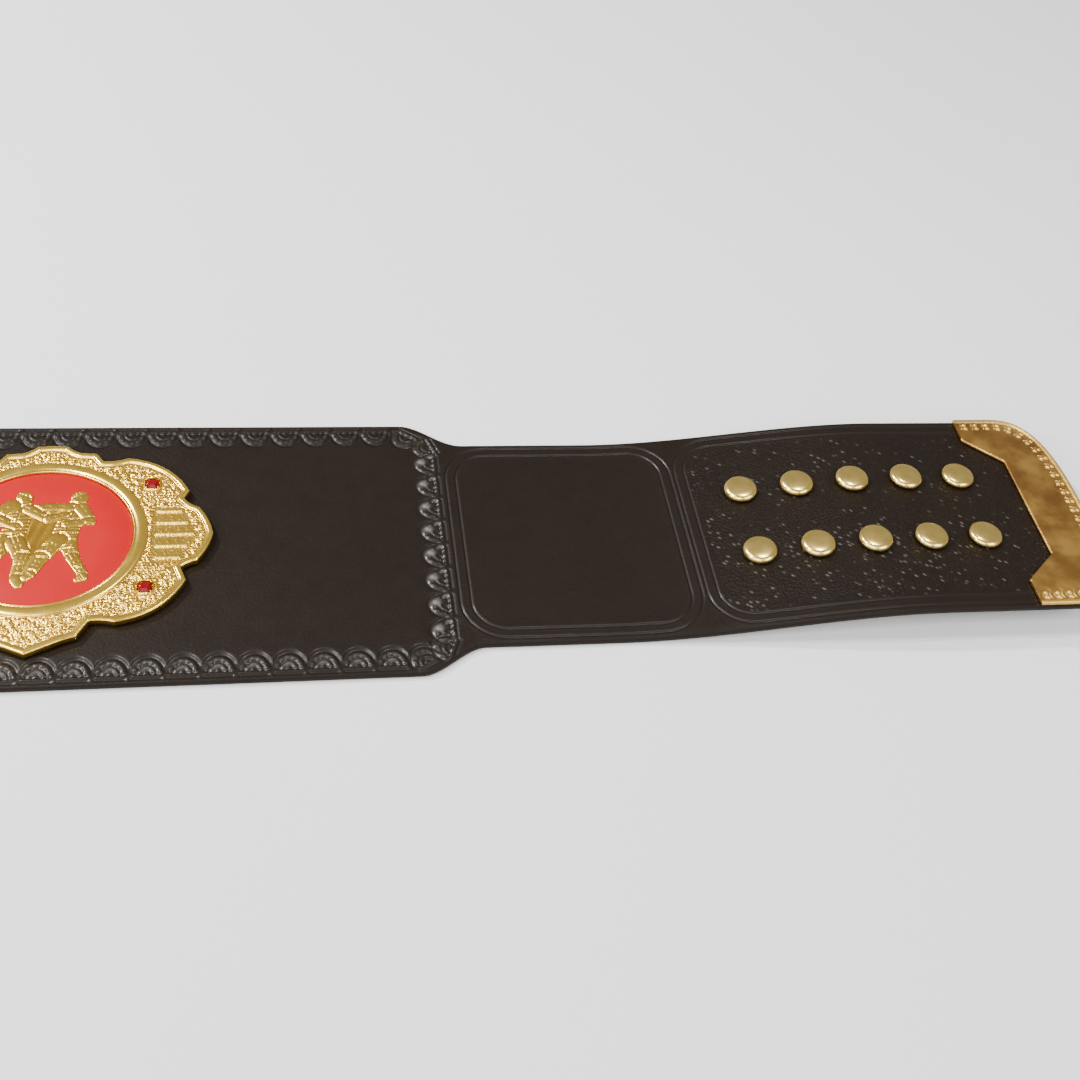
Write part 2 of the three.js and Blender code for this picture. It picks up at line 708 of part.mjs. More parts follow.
const medallion = new THREE.Group();
medallion.position.y = plateRise;
belt.add(medallion);
addPiece("centre_plate", makePlate(), gold, medallion);
addPiece("enamel", geometryFrom(makeEnamel()), enamelRed, medallion);
const gemCorners = { upper_right: [1, 1], lower_right: [1, -1], upper_left: [-1, 1], lower_left: [-1, -1] };
for (const [corner, [sx, sy]] of Object.entries(gemCorners)) {
  const gem = addPiece("stone_" + corner, makeGem(), stoneRed, medallion);
  gem.position.set(sx * gemX, sy * gemY, plateFace + gemSeatHeight - gemSeatDepth + seatGap);
}

addPiece("tip_plate_right", makeTip(), tipGold);
addPiece("tip_plate_left", makeTip().rotateZ(Math.PI), tipGold);

snapPlaces(1).forEach((place, i) => {
  const cap = addPiece("snap_cap_" + (i + 1), makeSnapCap(), brass);
  cap.position.set(place.x, place.y, place.z);
  cap.rotation.y = -place.tilt;
});
snapPlaces(-1).forEach((place, i) => {
  const stud = addPiece("snap_stud_" + (i + 1), makeSnapStud(), brass);
  stud.position.set(place.x, place.y, place.z);
  stud.rotation.y = -place.tilt;
});

export default belt;
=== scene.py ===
import math
import random

import bpy
import numpy as np
from mathutils import Matrix, Vector
from mathutils.geometry import delaunay_2d_cdt


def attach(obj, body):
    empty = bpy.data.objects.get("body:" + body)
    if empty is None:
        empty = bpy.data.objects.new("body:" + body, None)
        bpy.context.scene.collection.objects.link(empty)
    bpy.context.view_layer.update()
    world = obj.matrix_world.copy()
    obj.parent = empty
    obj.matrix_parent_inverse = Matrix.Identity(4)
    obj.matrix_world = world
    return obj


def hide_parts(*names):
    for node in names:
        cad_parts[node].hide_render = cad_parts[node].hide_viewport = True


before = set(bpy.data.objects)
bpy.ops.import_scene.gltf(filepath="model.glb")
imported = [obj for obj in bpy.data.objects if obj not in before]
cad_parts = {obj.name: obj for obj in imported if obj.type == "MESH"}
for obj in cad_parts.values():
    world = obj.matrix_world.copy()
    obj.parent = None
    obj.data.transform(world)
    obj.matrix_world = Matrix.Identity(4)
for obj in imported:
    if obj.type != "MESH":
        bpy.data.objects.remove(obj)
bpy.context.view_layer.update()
print("belt: frame loaded")

mm = 0.001  # lengths below are in millimetres, meshes are made in metres
sides = (1, -1)  # the right half and the left half, or the upper and the lower one


# Shader nodes

class Signal:
    # the socket that a value comes out of, so that shader maths reads as sums
    def __init__(self, finish, socket):
        self.finish = finish
        self.socket = socket

    def __add__(self, other):
        return self.finish.maths("ADD", self, other)

    def __sub__(self, other):
        return self.finish.maths("SUBTRACT", self, other)

    def __rsub__(self, other):
        return self.finish.maths("SUBTRACT", other, self)

    def __mul__(self, other):
        return self.finish.maths("MULTIPLY", self, other)

    __radd__, __rmul__ = __add__, __mul__


class Finish:
    def __init__(self, name, fixed):
        self.material = bpy.data.materials.new(name)
        self.material.use_nodes = True
        self.tree = self.material.node_tree
        self.shader = self.tree.nodes["Principled BSDF"]
        for socket, value in fixed.items():
            self.shader.inputs[socket].default_value = value

    def node(self, kind, settings=None, values=None, output=0):
        made = self.tree.nodes.new(kind)
        for key, value in (settings or {}).items():
            setattr(made, key, value)
        for key, value in (values or {}).items():
            if isinstance(value, Signal):
                self.tree.links.new(value.socket, made.inputs[key])
            else:
                made.inputs[key].default_value = value
        return Signal(self, made.outputs[output])

    def maths(self, operation, first, second=0.0, clamp=False):
        settings = {"operation": operation, "use_clamp": clamp}
        return self.node("ShaderNodeMath", settings, {0: first, 1: second})

    def clamped(self, value):
        return self.maths("ADD", value, 0.0, clamp=True)

    def between(self, value, low, high):
        # 0 at low, 1 at high, smooth between them
        settings = {"interpolation_type": "SMOOTHSTEP"}
        return self.node("ShaderNodeMapRange", settings, {"Value": value, "From Min": low, "From Max": high})

    def blend(self, share, first, second):
        return self.node("ShaderNodeMix", {"data_type": "RGBA"}, {0: share, 6: first, 7: second}, 2)

    def mark(self, label):
        # a number painted on the mesh's points
        return self.node("ShaderNodeAttribute", {"attribute_name": label}, output="Fac")

    def place(self, stretch=(1, 1, 1), turn=0.0, kind="POINT"):
        values = {"Vector": self.node("ShaderNodeTexCoord", output="Object"), "Scale": stretch}
        values["Rotation"] = (0, 0, turn)
        return self.node("ShaderNodeMapping", {"vector_type": kind}, values)

    def noise(self, place, size, detail=3.0, roughness=0.55):
        values = {"Vector": place, "Scale": 1 / (size * mm), "Detail": detail, "Roughness": roughness}
        return self.node("ShaderNodeTexNoise", {}, values)

    def cells(self, place, size, feature="F1", output="Distance"):
        values = {"Vector": place, "Scale": 1 / (size * mm)}
        return self.node("ShaderNodeTexVoronoi", {"feature": feature}, values, output)

    def feed(self, links):
        for socket, value in links.items():
            self.tree.links.new(value.socket, self.shader.inputs[socket])

    def bump(self, height, depth, strength=1.0):
        values = {"Height": height, "Distance": depth * mm, "Strength": strength}
        self.feed({"Normal": self.node("ShaderNodeBump", {}, values, "Normal")})


# Curves and outlines

def smoothStep(t):
    t = np.clip(t, 0.0, 1.0)
    return t * t * (3 - 2 * t)


def bell(value, middle, width):
    # 1 at the middle, falling away on both sides
    return np.exp(-((value - middle) / width) ** 2)


def domed(share):
    # the height of a half ball at a share of its radius
    return np.sqrt(np.clip(1 - share ** 2, 0, 1))


def alongAcross(dx, dy, facing):
    return dx * math.cos(facing) + dy * math.sin(facing), dy * math.cos(facing) - dx * math.sin(facing)


def drawnIn(corners, distance):
    # an anticlockwise outline with each edge shifted inwards
    before = corners - np.roll(corners, 1, axis=0)
    after = np.roll(corners, -1, axis=0) - corners
    before = before / np.linalg.norm(before, axis=1)[:, None]
    after = after / np.linalg.norm(after, axis=1)[:, None]
    inward = np.stack([-before[:, 1] - after[:, 1], before[:, 0] + after[:, 0]], axis=1)
    return corners + inward * (distance / (1 + (before * after).sum(axis=1)))[:, None]


def divided(corners, counts):
    # each edge of a closed outline in so many steps
    rows = []
    for a, b, count in zip(corners, np.roll(corners, -1, axis=0), counts):
        rows.append(a + (b - a) * (np.arange(count) / count)[:, None])
    return np.concatenate(rows)


def stepCounts(corners, step):
    lengths = np.linalg.norm(np.roll(corners, -1, axis=0) - corners, axis=1)
    return np.maximum(1, np.round(lengths / step)).astype(int)


def lengthsAlong(line):
    return np.concatenate([[0], np.cumsum(np.linalg.norm(np.diff(line, axis=0), axis=1))])


def evenly(line, step):
    # the same line with its points at even distances
    along = lengthsAlong(line)
    wanted = np.linspace(0, along[-1], max(2, int(round(along[-1] / step)) + 1))
    return np.stack([np.interp(wanted, along, line[:, k]) for k in (0, 1)], axis=1)


def circleLoop(radius, count, centre=(0.0, 0.0)):
    angles = 2 * math.pi * np.arange(count) / count
    return np.stack([centre[0] + radius * np.cos(angles), centre[1] + radius * np.sin(angles)], axis=1)


def hexSpots(low, high, step):
    ys = np.arange(low[1], high[1], step * 0.866)
    xs = np.arange(low[0], high[0], step)
    gridX, gridY = np.meshgrid(xs, ys)
    gridX = gridX + (np.arange(len(ys))[:, None] % 2) * step / 2
    return np.stack([gridX.ravel(), gridY.ravel()], axis=1)


def distanceTo(points, corners, closed=True):
    # how far each point is from an outline
    ends = np.roll(corners, -1, axis=0) if closed else corners[1:]
    starts = corners if closed else corners[:-1]
    best = np.full(len(points), 1e9)
    for a, b in zip(starts, ends):
        along = b - a
        t = np.clip(((points - a) @ along) / max(1e-12, along @ along), 0, 1)
        away = points - a - t[:, None] * along
        best = np.minimum(best, np.hypot(away[:, 0], away[:, 1]))
    return best


def isInside(points, corners):
    inside = np.zeros(len(points), bool)
    x, y = points.T
    for a, b in zip(corners, np.roll(corners, -1, axis=0)):
        crosses = (a[1] > y) != (b[1] > y)
        if a[1] != b[1]:
            inside ^= crosses & (x < (b[0] - a[0]) * (y - a[1]) / (b[1] - a[1]) + a[0])
    return inside


# Sheets and turned pieces

def filled(boundary, loops, spots):
    # triangles inside a boundary, with edges along the loops and corners at the spots
    groups = [boundary, *loops]
    edges, start = [], 0
    for group in groups:
        count = len(group)
        edges += [(start + i, start + (i + 1) % count) for i in range(count)]
        start += count
    points = np.concatenate([*groups, spots]) if len(spots) else np.concatenate(groups)
    corners = [Vector(p) for p in points.tolist()]
    places, _, faces, origins, _, _ = delaunay_2d_cdt(corners, edges, [], 1, 1e-5)
    places = np.array([(p.x, p.y) for p in places])
    rim = np.full(len(boundary), -1)
    for made, sources in enumerate(origins):
        for source in sources:
            if source < len(boundary):
                rim[source] = made
    return places, faces, rim


def sheet(rings, topHeight, loops, spots, underSpots=()):
    # rings are (outline, height) pairs from the flat underside's edge, round the side, to the top's edge
    count = len(rings[0][0])
    topPlaces, topFaces, topRim = filled(rings[-1][0], loops, spots)
    lowPlaces, lowFaces, lowRim = filled(rings[0][0], (), underSpots)
    parts = [
        np.column_stack([topPlaces, topHeight(topPlaces[:, 0], topPlaces[:, 1])]),
        np.column_stack([lowPlaces, np.full(len(lowPlaces), rings[0][1])]),
    ]
    lowStart = len(topPlaces)
    faces = [tuple(f) for f in topFaces] + [tuple(lowStart + i for i in reversed(f)) for f in lowFaces]
    rows, start = [lowRim + lowStart], lowStart + len(lowPlaces)
    for outline, height in rings[1:-1]:
        parts.append(np.column_stack([outline, np.full(count, float(height))]))
        rows.append(start + np.arange(count))
        start += count
    rows.append(topRim)
    for lower, upper in zip(rows, rows[1:]):
        for i in range(count):
            j = (i + 1) % count
            faces.append((int(lower[i]), int(lower[j]), int(upper[j]), int(upper[i])))
    return np.concatenate(parts), faces, len(topPlaces)


def turnedShape(profile, count):
    # a piece turned about Z from (radius, height) pairs that start and end on the axis
    points, rows, faces = [], [], []
    for radius, height in profile:
        if radius == 0:
            rows.append([len(points)] * count)
            points.append((0.0, 0.0, height))
            continue
        rows.append(list(range(len(points), len(points) + count)))
        for i in range(count):
            angle = 2 * math.pi * i / count
            points.append((radius * math.cos(angle), radius * math.sin(angle), height))
    for lower, upper in zip(rows, rows[1:]):
        for i in range(count):
            j = (i + 1) % count
            faces.append(tuple(dict.fromkeys([lower[i], lower[j], upper[j], upper[i]])))
    return np.array(points), faces


def joined(shapes):
    points, faces, start = [], [], 0
    for made, madeFaces in shapes:
        points.append(made)
        faces += [tuple(start + i for i in face) for face in madeFaces]
        start += len(made)
    return np.concatenate(points), faces


def meshFrom(name, points, faces, crease, marks=None):
    # edges that turn by more than the crease's degrees stay sharp
    mesh = bpy.data.meshes.new(name)
    mesh.from_pydata((np.asarray(points) * mm).tolist(), [], faces)
    mesh.update()
    mesh.shade_smooth()
    mesh.set_sharp_from_angle(angle=math.radians(crease))
    for label, values in (marks or {}).items():
        attribute = mesh.attributes.new(label, "FLOAT", "POINT")
        attribute.data.foreach_set("value", np.asarray(values, np.float32))
    return mesh


def addPiece(name, mesh, finish, nodes=()):
    piece = bpy.data.objects.new(name, mesh)
    bpy.context.scene.collection.objects.link(piece)
    if not mesh.materials:
        mesh.materials.append(finish.material)
    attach(piece, "root")
    if nodes:
        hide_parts(*nodes)
    return piece


# Finishes: colours, and the sizes of their grain in millimetres

def leatherFinish():
    look = {
        "colour": (0.0064, 0.0037, 0.0021, 1),
        "worn": (0.0125, 0.0076, 0.0046, 1),
        "glint": (0.17, 0.16, 0.14, 1),
        "underside": (0.03, 0.022, 0.017, 1),
        "cloud": 9,
        "patch": 21,
        "crease": 6.5,
        "pebble": 1.15,
        "pore": 0.42,
        "stipple": 1.9,
        "spark": 2.4,
    }
    leather = Finish("tooledLeather", {"Specular IOR Level": 0.12, "Coat Roughness": 0.25})
    place = leather.place()
    cloud = leather.noise(place, look["cloud"], 5, 0.7)
    pebble = leather.cells(place, look["pebble"], "SMOOTH_F1")
    pore = leather.noise(place, look["pore"], 3, 0.7)
    crease = leather.noise(leather.place((1, 2.2, 1), 0.5), look["crease"], 4, 0.62)
    stipple, relief = leather.mark("stipple"), leather.mark("relief")
    flesh, polish = leather.mark("flesh"), leather.mark("polish")
    # short dents in two directions
    dashes = leather.cells(leather.place((1.0, 1.7, 1.0), 0.7), look["stipple"])
    dashesAcross = leather.cells(leather.place((1.7, 1.0, 1.0), 0.4), look["stipple"] * 0.8)
    pits = leather.maths("MINIMUM", dashes, dashesAcross)
    # slanted flecks on the stippling, raised in the bump and coated, and coloured pale as a painted highlight
    # where glints would be; more of them in some patches
    slanted = leather.place((1.45, 0.72, 1.0), -0.75, "TEXTURE")
    chance = leather.cells(slanted, look["spark"], output="Color")
    patch = leather.noise(place, look["patch"], 2) + leather.mark("sparkle") * 0.3
    spark = leather.between(chance + patch * 0.7, 1.0, 1.24)
    spark = spark * (1 - leather.between(leather.cells(slanted, look["spark"]), 0.14, 0.36)) * stipple
    # lighter where the leather stands higher, darker in the pressed grooves and stamps, with random tone from
    # the cloud and the pores
    shade = leather.clamped(cloud * 0.6 + pore * 0.5 + relief * 0.5 - 0.35)
    colour = leather.blend(shade, look["colour"], look["worn"])
    # painted highlight: the flecks are given the pale glint colour
    colour = leather.blend(spark * 0.36, colour, look["glint"])
    # painted highlight: the crowns and hooks of the stamps take the pale glint colour
    colour = leather.blend(leather.mark("paintedCrownHighlight"), colour, look["glint"])
    leather.feed({
        "Base Color": leather.blend(flesh, colour, look["underside"]),
        "Roughness": 0.34 + 0.14 * cloud + 0.10 * pore - 0.04 * relief - 0.08 * stipple + 0.3 * flesh,
        "Coat Weight": leather.clamped(polish * 0.95 + stipple * 0.06 + spark * 0.9 - flesh),
    })
    grain = pebble * 0.30 + pore * 0.30 + crease * 0.35
    leather.bump(grain * (1 - 0.5 * stipple) + stipple * pits * 1.2 + spark * 0.8, 0.34, 0.8)
    return leather


def castGoldFinish():
    look = {
        "high": (1.0, 0.665, 0.108, 1),
        "low": (0.66, 0.33, 0.03, 1),
        "speck": 1.0,
        "haze": 7,
        "scratch": 1.4,
    }
    gold = Finish("castGold", {"Metallic": 1.0})
    relief, fine = gold.mark("relief"), gold.mark("fine")
    speck = gold.cells(gold.place(), look["speck"])
    haze = gold.noise(gold.place(), look["haze"], 3)
    scratch = gold.noise(gold.place((1, 6, 1), 0.35), look["scratch"], 3, 0.7)
    gold.feed({
        # painted shade and highlight: the relief mark darkens the low ground between the leaves and the
        # figures, and lightens the raised leaves and beads, the ribs, the rim, the ring and the seats
        "Base Color": gold.blend(gold.clamped(relief * 1.1 + haze * 0.25 - 0.1), look["low"], look["high"]),
        "Roughness": 0.16 + 0.10 * haze + 0.02 * fine + 0.05 * scratch,
    })
    gold.bump(fine * speck + scratch * 0.03 + haze * 0.1, 0.42, 0.9)
    return gold


def tipGoldFinish():
    look = {
        "bright": (0.84, 0.53, 0.13, 1),
        "brown": (0.31, 0.145, 0.04, 1),
        "brushing": 3.0,
        "cloud": 16,
    }
    tipGold = Finish("brushedGold", {"Metallic": 1.0})
    brush = tipGold.noise(tipGold.place((1, 14, 1), 0.25), look["brushing"], 4, 0.75)
    cloud = tipGold.noise(tipGold.place(), look["cloud"], 3)
    # painted highlight: through the relief mark the raised rim and beads take the bright colour; the rest
    # varies with random cloud and brushing
    share = tipGold.mark("relief") * 0.9 + tipGold.between(cloud, 0.35, 0.7) * 0.5 + brush * 0.3 - 0.1
    tipGold.feed({
        "Base Color": tipGold.blend(tipGold.clamped(share), look["brown"], look["bright"]),
        "Roughness": 0.26 + 0.14 * cloud + 0.12 * brush,
    })
    tipGold.bump(brush * 0.35 + cloud * 0.3, 0.12, 0.6)
    return tipGold


def snapBrassFinish():
    look = {"deep": (0.90, 0.62, 0.16, 1), "pale": (1.0, 0.77, 0.27, 1), "haze": 5, "scratch": 2.4}
    brass = Finish("palePolishedBrass", {"Metallic": 1.0})
    scratch = brass.noise(brass.place((1, 9, 1), 0.6), look["scratch"], 3, 0.7)
    haze = brass.noise(brass.place(), look["haze"], 3)
    brass.feed({
        "Base Color": brass.blend(brass.clamped(haze * 1.4 - 0.3), look["deep"], look["pale"]),
        "Roughness": 0.13 + 0.12 * haze + 0.08 * scratch,
    })
    brass.bump(scratch * 0.2 + haze * 0.4, 0.06, 0.3)
    return brass


def enamelFinish():
    look = {"deep": (0.33, 0.0055, 0.0075, 1), "light": (0.385, 0.008, 0.0095, 1), "cloud": 14, "fine": 0.8}
    enamel = Finish("redEnamel", {"Specular IOR Level": 0.08})
    cloud = enamel.noise(enamel.place(), look["cloud"], 3)
    fine = enamel.noise(enamel.place(), look["fine"], 2)
    enamel.feed({
        "Base Color": enamel.blend(cloud, look["deep"], look["light"]),
        "Roughness": 0.46 + 0.12 * cloud,
    })
    enamel.bump(cloud * 0.5 + fine * 0.1, 0.12, 0.5)
    return enamel


def stoneFinish():
    look = {"deep": (0.10, 0.002, 0.003, 1), "light": (0.20, 0.004, 0.005, 1), "cloud": 2.2}
    stone = Finish("redGlass", {"IOR": 1.6, "Specular IOR Level": 0.12, "Coat Weight": 0.0})
    cloud = stone.noise(stone.place(), look["cloud"], 2)
    stone.feed({
        "Base Color": stone.blend(cloud, look["deep"], look["light"]),
        "Roughness": 0.12 + 0.1 * cloud,
    })
    return stone


leather = leatherFinish()
castGold = castGoldFinish()
tipGold = tipGoldFinish()
snapBrass = snapBrassFinish()
enamelRed = enamelFinish()
redGlass = stoneFinish()
print("belt: finishes made")


# The strap

strap = {
    "thickness": 3.0,
    "bodyWidth": 140.0,
    "bodyHalfLength": 148.0,
    "shoulderLength": 27.0,
    "tailWidth": 114.0,
    "halfLength": 453.0,
    "endRounding": 28.6,
    "endSquareness": 3.0,
    "liftHeight": 13.0,
    "liftStart": 230.5,
    "liftLength": 138.0,
    "grooveDepth": 0.42,
    "grooveWidth": 0.42,
    "grooveSpacing": 4.5,
    "grooveEnd": 436.0,
    "edgeStep": 1.3,
    "grooveStep": 1.8,
    "underStep": 6.0,
    "coarseStep": 3.4,
    "fineStep": 0.58,
}
# from the underside's edge to the top's: how far inside the outline, and the height
strapEdge = [
    (0.9, 0.0), (0.35, 0.18), (0.06, 0.62), (0.0, 1.4), (0.06, 2.2), (0.3, 2.62), (0.75, 2.86), (1.3, 2.9),
]
# the two panels of a tail, each with a pair of grooves round it; an open one runs on under the tip plate
panels = {
    "plain": {"start": 166.3, "end": 268.3, "half": 54.1, "corner": 19.0, "open": False},
    "snap": {"start": 270.5, "end": 460.0, "half": 54.1, "corner": 19.0, "open": True},
}
grooveInsets = (0.0, strap["grooveSpacing"])
stamps = {
    "pitch": 13.2,
    "perSide": 11,
    "firstRight": 5.0,
    "firstLeft": 8.2,
    "baseFromMiddle": 66.2,
    "halfWidth": 5.7,
    "depth": 7.6,
    "reach": 12.5,
    "pressed": 0.72,
    "columnX": 162.0,
    "columnTop": 44.9,
    "columnPitch": 13.45,
    "columnCount": 8,
    # bases of the stamps that turn round the shoulder, with the way that they face in degrees
    "turning": [(151.6, 63.6, 236), (161.6, 56.2, 200), (161.2, -58.6, 158), (151.2, -65.0, 122)],
}
snaps = {"first": 297.5, "pitch": 25.4, "rowSpacing": 36.4, "rowOffset": 1.8, "columns": 5}
dentRadii = (6.5, 8.2, 9.8, 11.6)  # of the circles that follow the dent under a snap


def liftAt(x):
    return strap["liftHeight"] * smoothStep((np.abs(x) - strap["liftStart"]) / strap["liftLength"])


def tiltAt(x):
    return np.arctan((liftAt(x + 0.01) - liftAt(x - 0.01)) / 0.02)


def ontoStrap(points):
    # from the flat, where z is the height in the strap, onto the curved strap
    x, y, z = np.asarray(points, float).T
    tilt = tiltAt(x)
    return np.column_stack([x - z * np.sin(tilt), y, liftAt(x) + z * np.cos(tilt)])


def halfWidthAt(x):
    d = np.abs(x)
    narrowing = smoothStep((d - strap["bodyHalfLength"]) / strap["shoulderLength"])
    width = strap["bodyWidth"] + (strap["tailWidth"] - strap["bodyWidth"]) * narrowing
    intoEnd = np.clip((d - strap["halfLength"] + strap["endRounding"]) / strap["endRounding"], 0, 1)
    return width / 2 * (1 - intoEnd ** strap["endSquareness"]) ** (1 / strap["endSquareness"])


def endCurve(inset, steps):
    # the rounded end of the right tail above the middle line, from its start to its tip
    angles = np.linspace(0, math.pi / 2, steps + 1)
    power = 2 / strap["endSquareness"]
    rounding = strap["endRounding"]
    x = strap["halfLength"] - rounding + (rounding - inset) * np.sin(angles) ** power
    y = (strap["tailWidth"] / 2 - inset) * np.abs(np.cos(angles)) ** power
    y[-1] = 0.0
    return np.stack([x, y], axis=1)


def strapOutline():
    x = np.arange(0, strap["halfLength"] - strap["endRounding"], 0.5)
    quarter = np.concatenate([np.stack([x, halfWidthAt(x)], axis=1), endCurve(0, 400)])
    quarter = evenly(quarter, strap["edgeStep"])
    right = np.concatenate([quarter[1:], (quarter * (1, -1))[::-1][1:-1]])
    whole = np.concatenate([quarter[:1], right, (quarter * (1, -1))[:1], (right * (-1, 1))[::-1]])
    return whole[::-1]


def toPanel(x, y, panel):
    # signed distance to a panel's rounded rectangle, negative inside
    corner = panel["corner"]
    middle = (panel["start"] + panel["end"]) / 2
    dx = np.abs(np.abs(x) - middle) - (panel["end"] - panel["start"]) / 2 + corner
    dy = np.abs(y) - panel["half"] + corner
    return np.hypot(np.maximum(dx, 0), np.maximum(dy, 0)) + np.minimum(np.maximum(dx, dy), 0) - corner


def intoSnapPanel(x, y):
    # how far inside the inner groove of the panel with the snaps
    return -toPanel(x, y, panels["snap"]) - strap["grooveSpacing"]


def grooveOffsets(x, y):
    # signed distance of each point to every groove
    for panel in panels.values():
        away = toPanel(x, y, panel)
        for inset in grooveInsets:
            yield away + inset


def panelLoop(panel, inset, side):
    start, end, half = panel["start"] + inset, panel["end"] - inset, panel["half"] - inset
    radius = panel["corner"] - inset
    turns = [(start + radius, half - radius, 90), (start + radius, radius - half, 180)]
    if not panel["open"]:
        turns += [(end - radius, radius - half, 270), (end - radius, half - radius, 0)]
    loop = []
    for cx, cy, first in turns:
        for k in range(17):
            angle = math.radians(first + 90 * k / 16)
            loop.append((cx + radius * math.cos(angle), cy + radius * math.sin(angle)))
    if panel["open"]:
        stop = strap["grooveEnd"] - inset
        loop += [(stop, -half), (stop, half)]
    loop = np.array(loop)
    loop = divided(loop, stepCounts(loop, strap["grooveStep"]))
    return loop if side > 0 else (loop * (-1, 1))[::-1]


def snapPlaces():
    places = []
    for row in sides:
        y = snaps["rowOffset"] + row * snaps["rowSpacing"] / 2
        places += [(snaps["first"] + column * snaps["pitch"], y) for column in range(snaps["columns"])]
    return places


def stampPlaces(side):
    # base middle and facing of every stamp on the half at one side, as if it were the right one
    places = []
    for k in range(stamps["perSide"]):
        x = stamps["firstRight" if side > 0 else "firstLeft"] + k * stamps["pitch"]
        places += [(x, stamps["baseFromMiddle"], 270), (x, -stamps["baseFromMiddle"], 90)]
    for k in range(stamps["columnCount"]):
        places.append((stamps["columnX"], stamps["columnTop"] - k * stamps["columnPitch"], 180))
    return places + stamps["turning"]


def stampsNear(x, y):
    # for each stamp: which points are near it, where they are from its base, and its facing
    for side in sides:
        for baseX, baseY, facing in stampPlaces(side):
            dx, dy = x * side - baseX, y - baseY
            near = np.hypot(dx, dy) < stamps["reach"]
            inward, across = alongAcross(dx[near], dy[near], math.radians(facing))
            yield near, across, inward, facing


def stampRelief(across, inward):
    # one shell: a bar at its base, two arcs over it and a pressed crescent outside them
    a, b = stamps["halfWidth"], stamps["depth"]
    r = np.hypot(across / a, inward / b)
    angle = np.arctan2(inward / b, across / a)
    over = smoothStep((inward + 0.2) / 0.8)
    valleys = bell(r, 0.30, 0.11) + bell(r, 0.66, 0.09)
    flutes = 0.22 * np.cos(angle * 13) * smoothStep((r - 0.7) / 0.1) * smoothStep((1.0 - r) / 0.1)
    crescent = bell(r, 1.16, 0.13) * smoothStep(inward / 3.0)
    bar = bell(inward, -0.2, 0.42) * smoothStep((a * 1.02 - np.abs(across)) / 0.8)
    below = bell(inward, -1.5, 0.45) * smoothStep((a * 1.1 - np.abs(across)) / 1.2)
    gap = bell(inward, 0.85, 0.38) * smoothStep((a - np.abs(across)) / 0.8)
    return -over * (valleys * 0.75 - flutes) - crescent - 0.8 * below - 0.6 * gap + 0.35 * bar


def stampField(x, y):
    total = np.zeros(len(x))
    for near, across, inward, _ in stampsNear(x, y):
        pressed, current = stampRelief(across, inward), total[near]
        total[near] = np.where(np.abs(pressed) > np.abs(current), pressed, current)
    return total * stamps["pressed"]


def crownHighlightField(x, y):
    # where the crowns and hooks of the columns and the arcs of the rows get a painted highlight
    total = np.zeros(len(x))
    for near, across, inward, facing in stampsNear(x, y):
        across, inward = across / stamps["halfWidth"], inward / stamps["depth"]
        r, angle = np.hypot(across, inward), np.arctan2(inward, across)
        if facing == 180:
            crown = 0.85 * bell(r, 0.78, 0.2) * bell(angle, 1.85, 0.32)
            worn = crown + 0.6 * bell(r, 0.82, 0.1) * bell(angle, 2.95, 0.16)
        elif facing == 90:
            arcs = bell(r, 0.48, 0.1) + 0.5 * bell(r, 0.84, 0.08)
            worn = 0.28 * arcs * bell(angle, 1.4, 0.8) * (inward > 0)
        else:
            worn = 0.05 * bell(r, 0.84, 0.1) * (inward > 0)
        total[near] = np.maximum(total[near], worn)
    return total


def grooveField(x, y):
    total = np.zeros(len(x))
    # the grooves grow fainter towards the tip plate
    pressed = 1 - 0.65 * smoothStep((np.abs(x) - 320) / 90)
    for offset in grooveOffsets(x, y):
        total -= pressed * bell(offset, 0, strap["grooveWidth"])
        total += 0.2 * pressed * bell(np.abs(offset), 0.95, 0.4)
    return total * strap["grooveDepth"]


def waveField(x, y):
    slow = np.sin(x / 31 + 0.6) * np.cos(y / 27 + 0.3) + 0.6 * np.sin(x / 17 - y / 23 + 1.9)
    quick = np.sin(x / 7.3 + y / 9.1) * np.sin(y / 6.7 - x / 12.9 + 0.8)
    return 0.07 * slow + 0.035 * quick


def strapTop(x, y):
    height = strap["thickness"] - 0.08 + waveField(x, y) + stampField(x, y) + grooveField(x, y)
    height = height - 0.14 * smoothStep((intoSnapPanel(x, y) - 0.5) / 2)
    for sx, sy in snapPlaces():
        r = np.hypot(np.abs(x) - sx, y - sy)
        height = height - 0.3 * smoothStep((11.5 - r) / 4.5)
    return np.minimum(height, strap["thickness"] + 0.2)


def inTooledBand(x, y, margin):
    # along the wide part's edges, round the shoulders and down the columns of stamps
    x, y = np.abs(x), np.abs(y)
    rows = (x < 147 + margin) & (y > 54.6 - margin)
    shoulders = (x > 143 - margin) & (x < 166.5 + margin) & (y > 46 - margin)
    columns = (x > 151.2 - margin) & (x < 164.6 + margin)
    return rows | shoulders | columns


def strapSpots():
    fine = hexSpots((-170.0, -69.5), (170.0, 69.5), strap["fineStep"])
    x, y = fine.T
    clear = np.abs(toPanel(x, y, panels["plain"])) > 1.6
    fine = fine[inTooledBand(x, y, 0) & (np.abs(y) < halfWidthAt(x) - 1.7) & clear]
    wide = hexSpots((-452.0, -70.0), (452.0, 70.0), strap["coarseStep"])
    x, y = wide.T
    keep = ~inTooledBand(x, y, strap["fineStep"]) & (np.abs(y) < halfWidthAt(x) - 2.6) & (np.abs(x) < 449)
    for offset in grooveOffsets(x, y):
        keep &= np.abs(offset) > 2.0
    for sx, sy in snapPlaces():
        keep &= np.hypot(np.abs(x) - sx, y - sy) > 12.4
    return np.concatenate([wide[keep], fine])


def strapLoops():
    loops = []
    for side in sides:
        for panel in panels.values():
            for inset in grooveInsets:
                for offset in (-1.3, -0.85, -0.5, -0.25, 0.0, 0.25, 0.5, 0.85, 1.3):
                    loops.append(panelLoop(panel, inset + offset, side))
        for sx, sy in snapPlaces():
            loops += [circleLoop(radius, 36, (side * sx, sy)) for radius in dentRadii]
    return loops


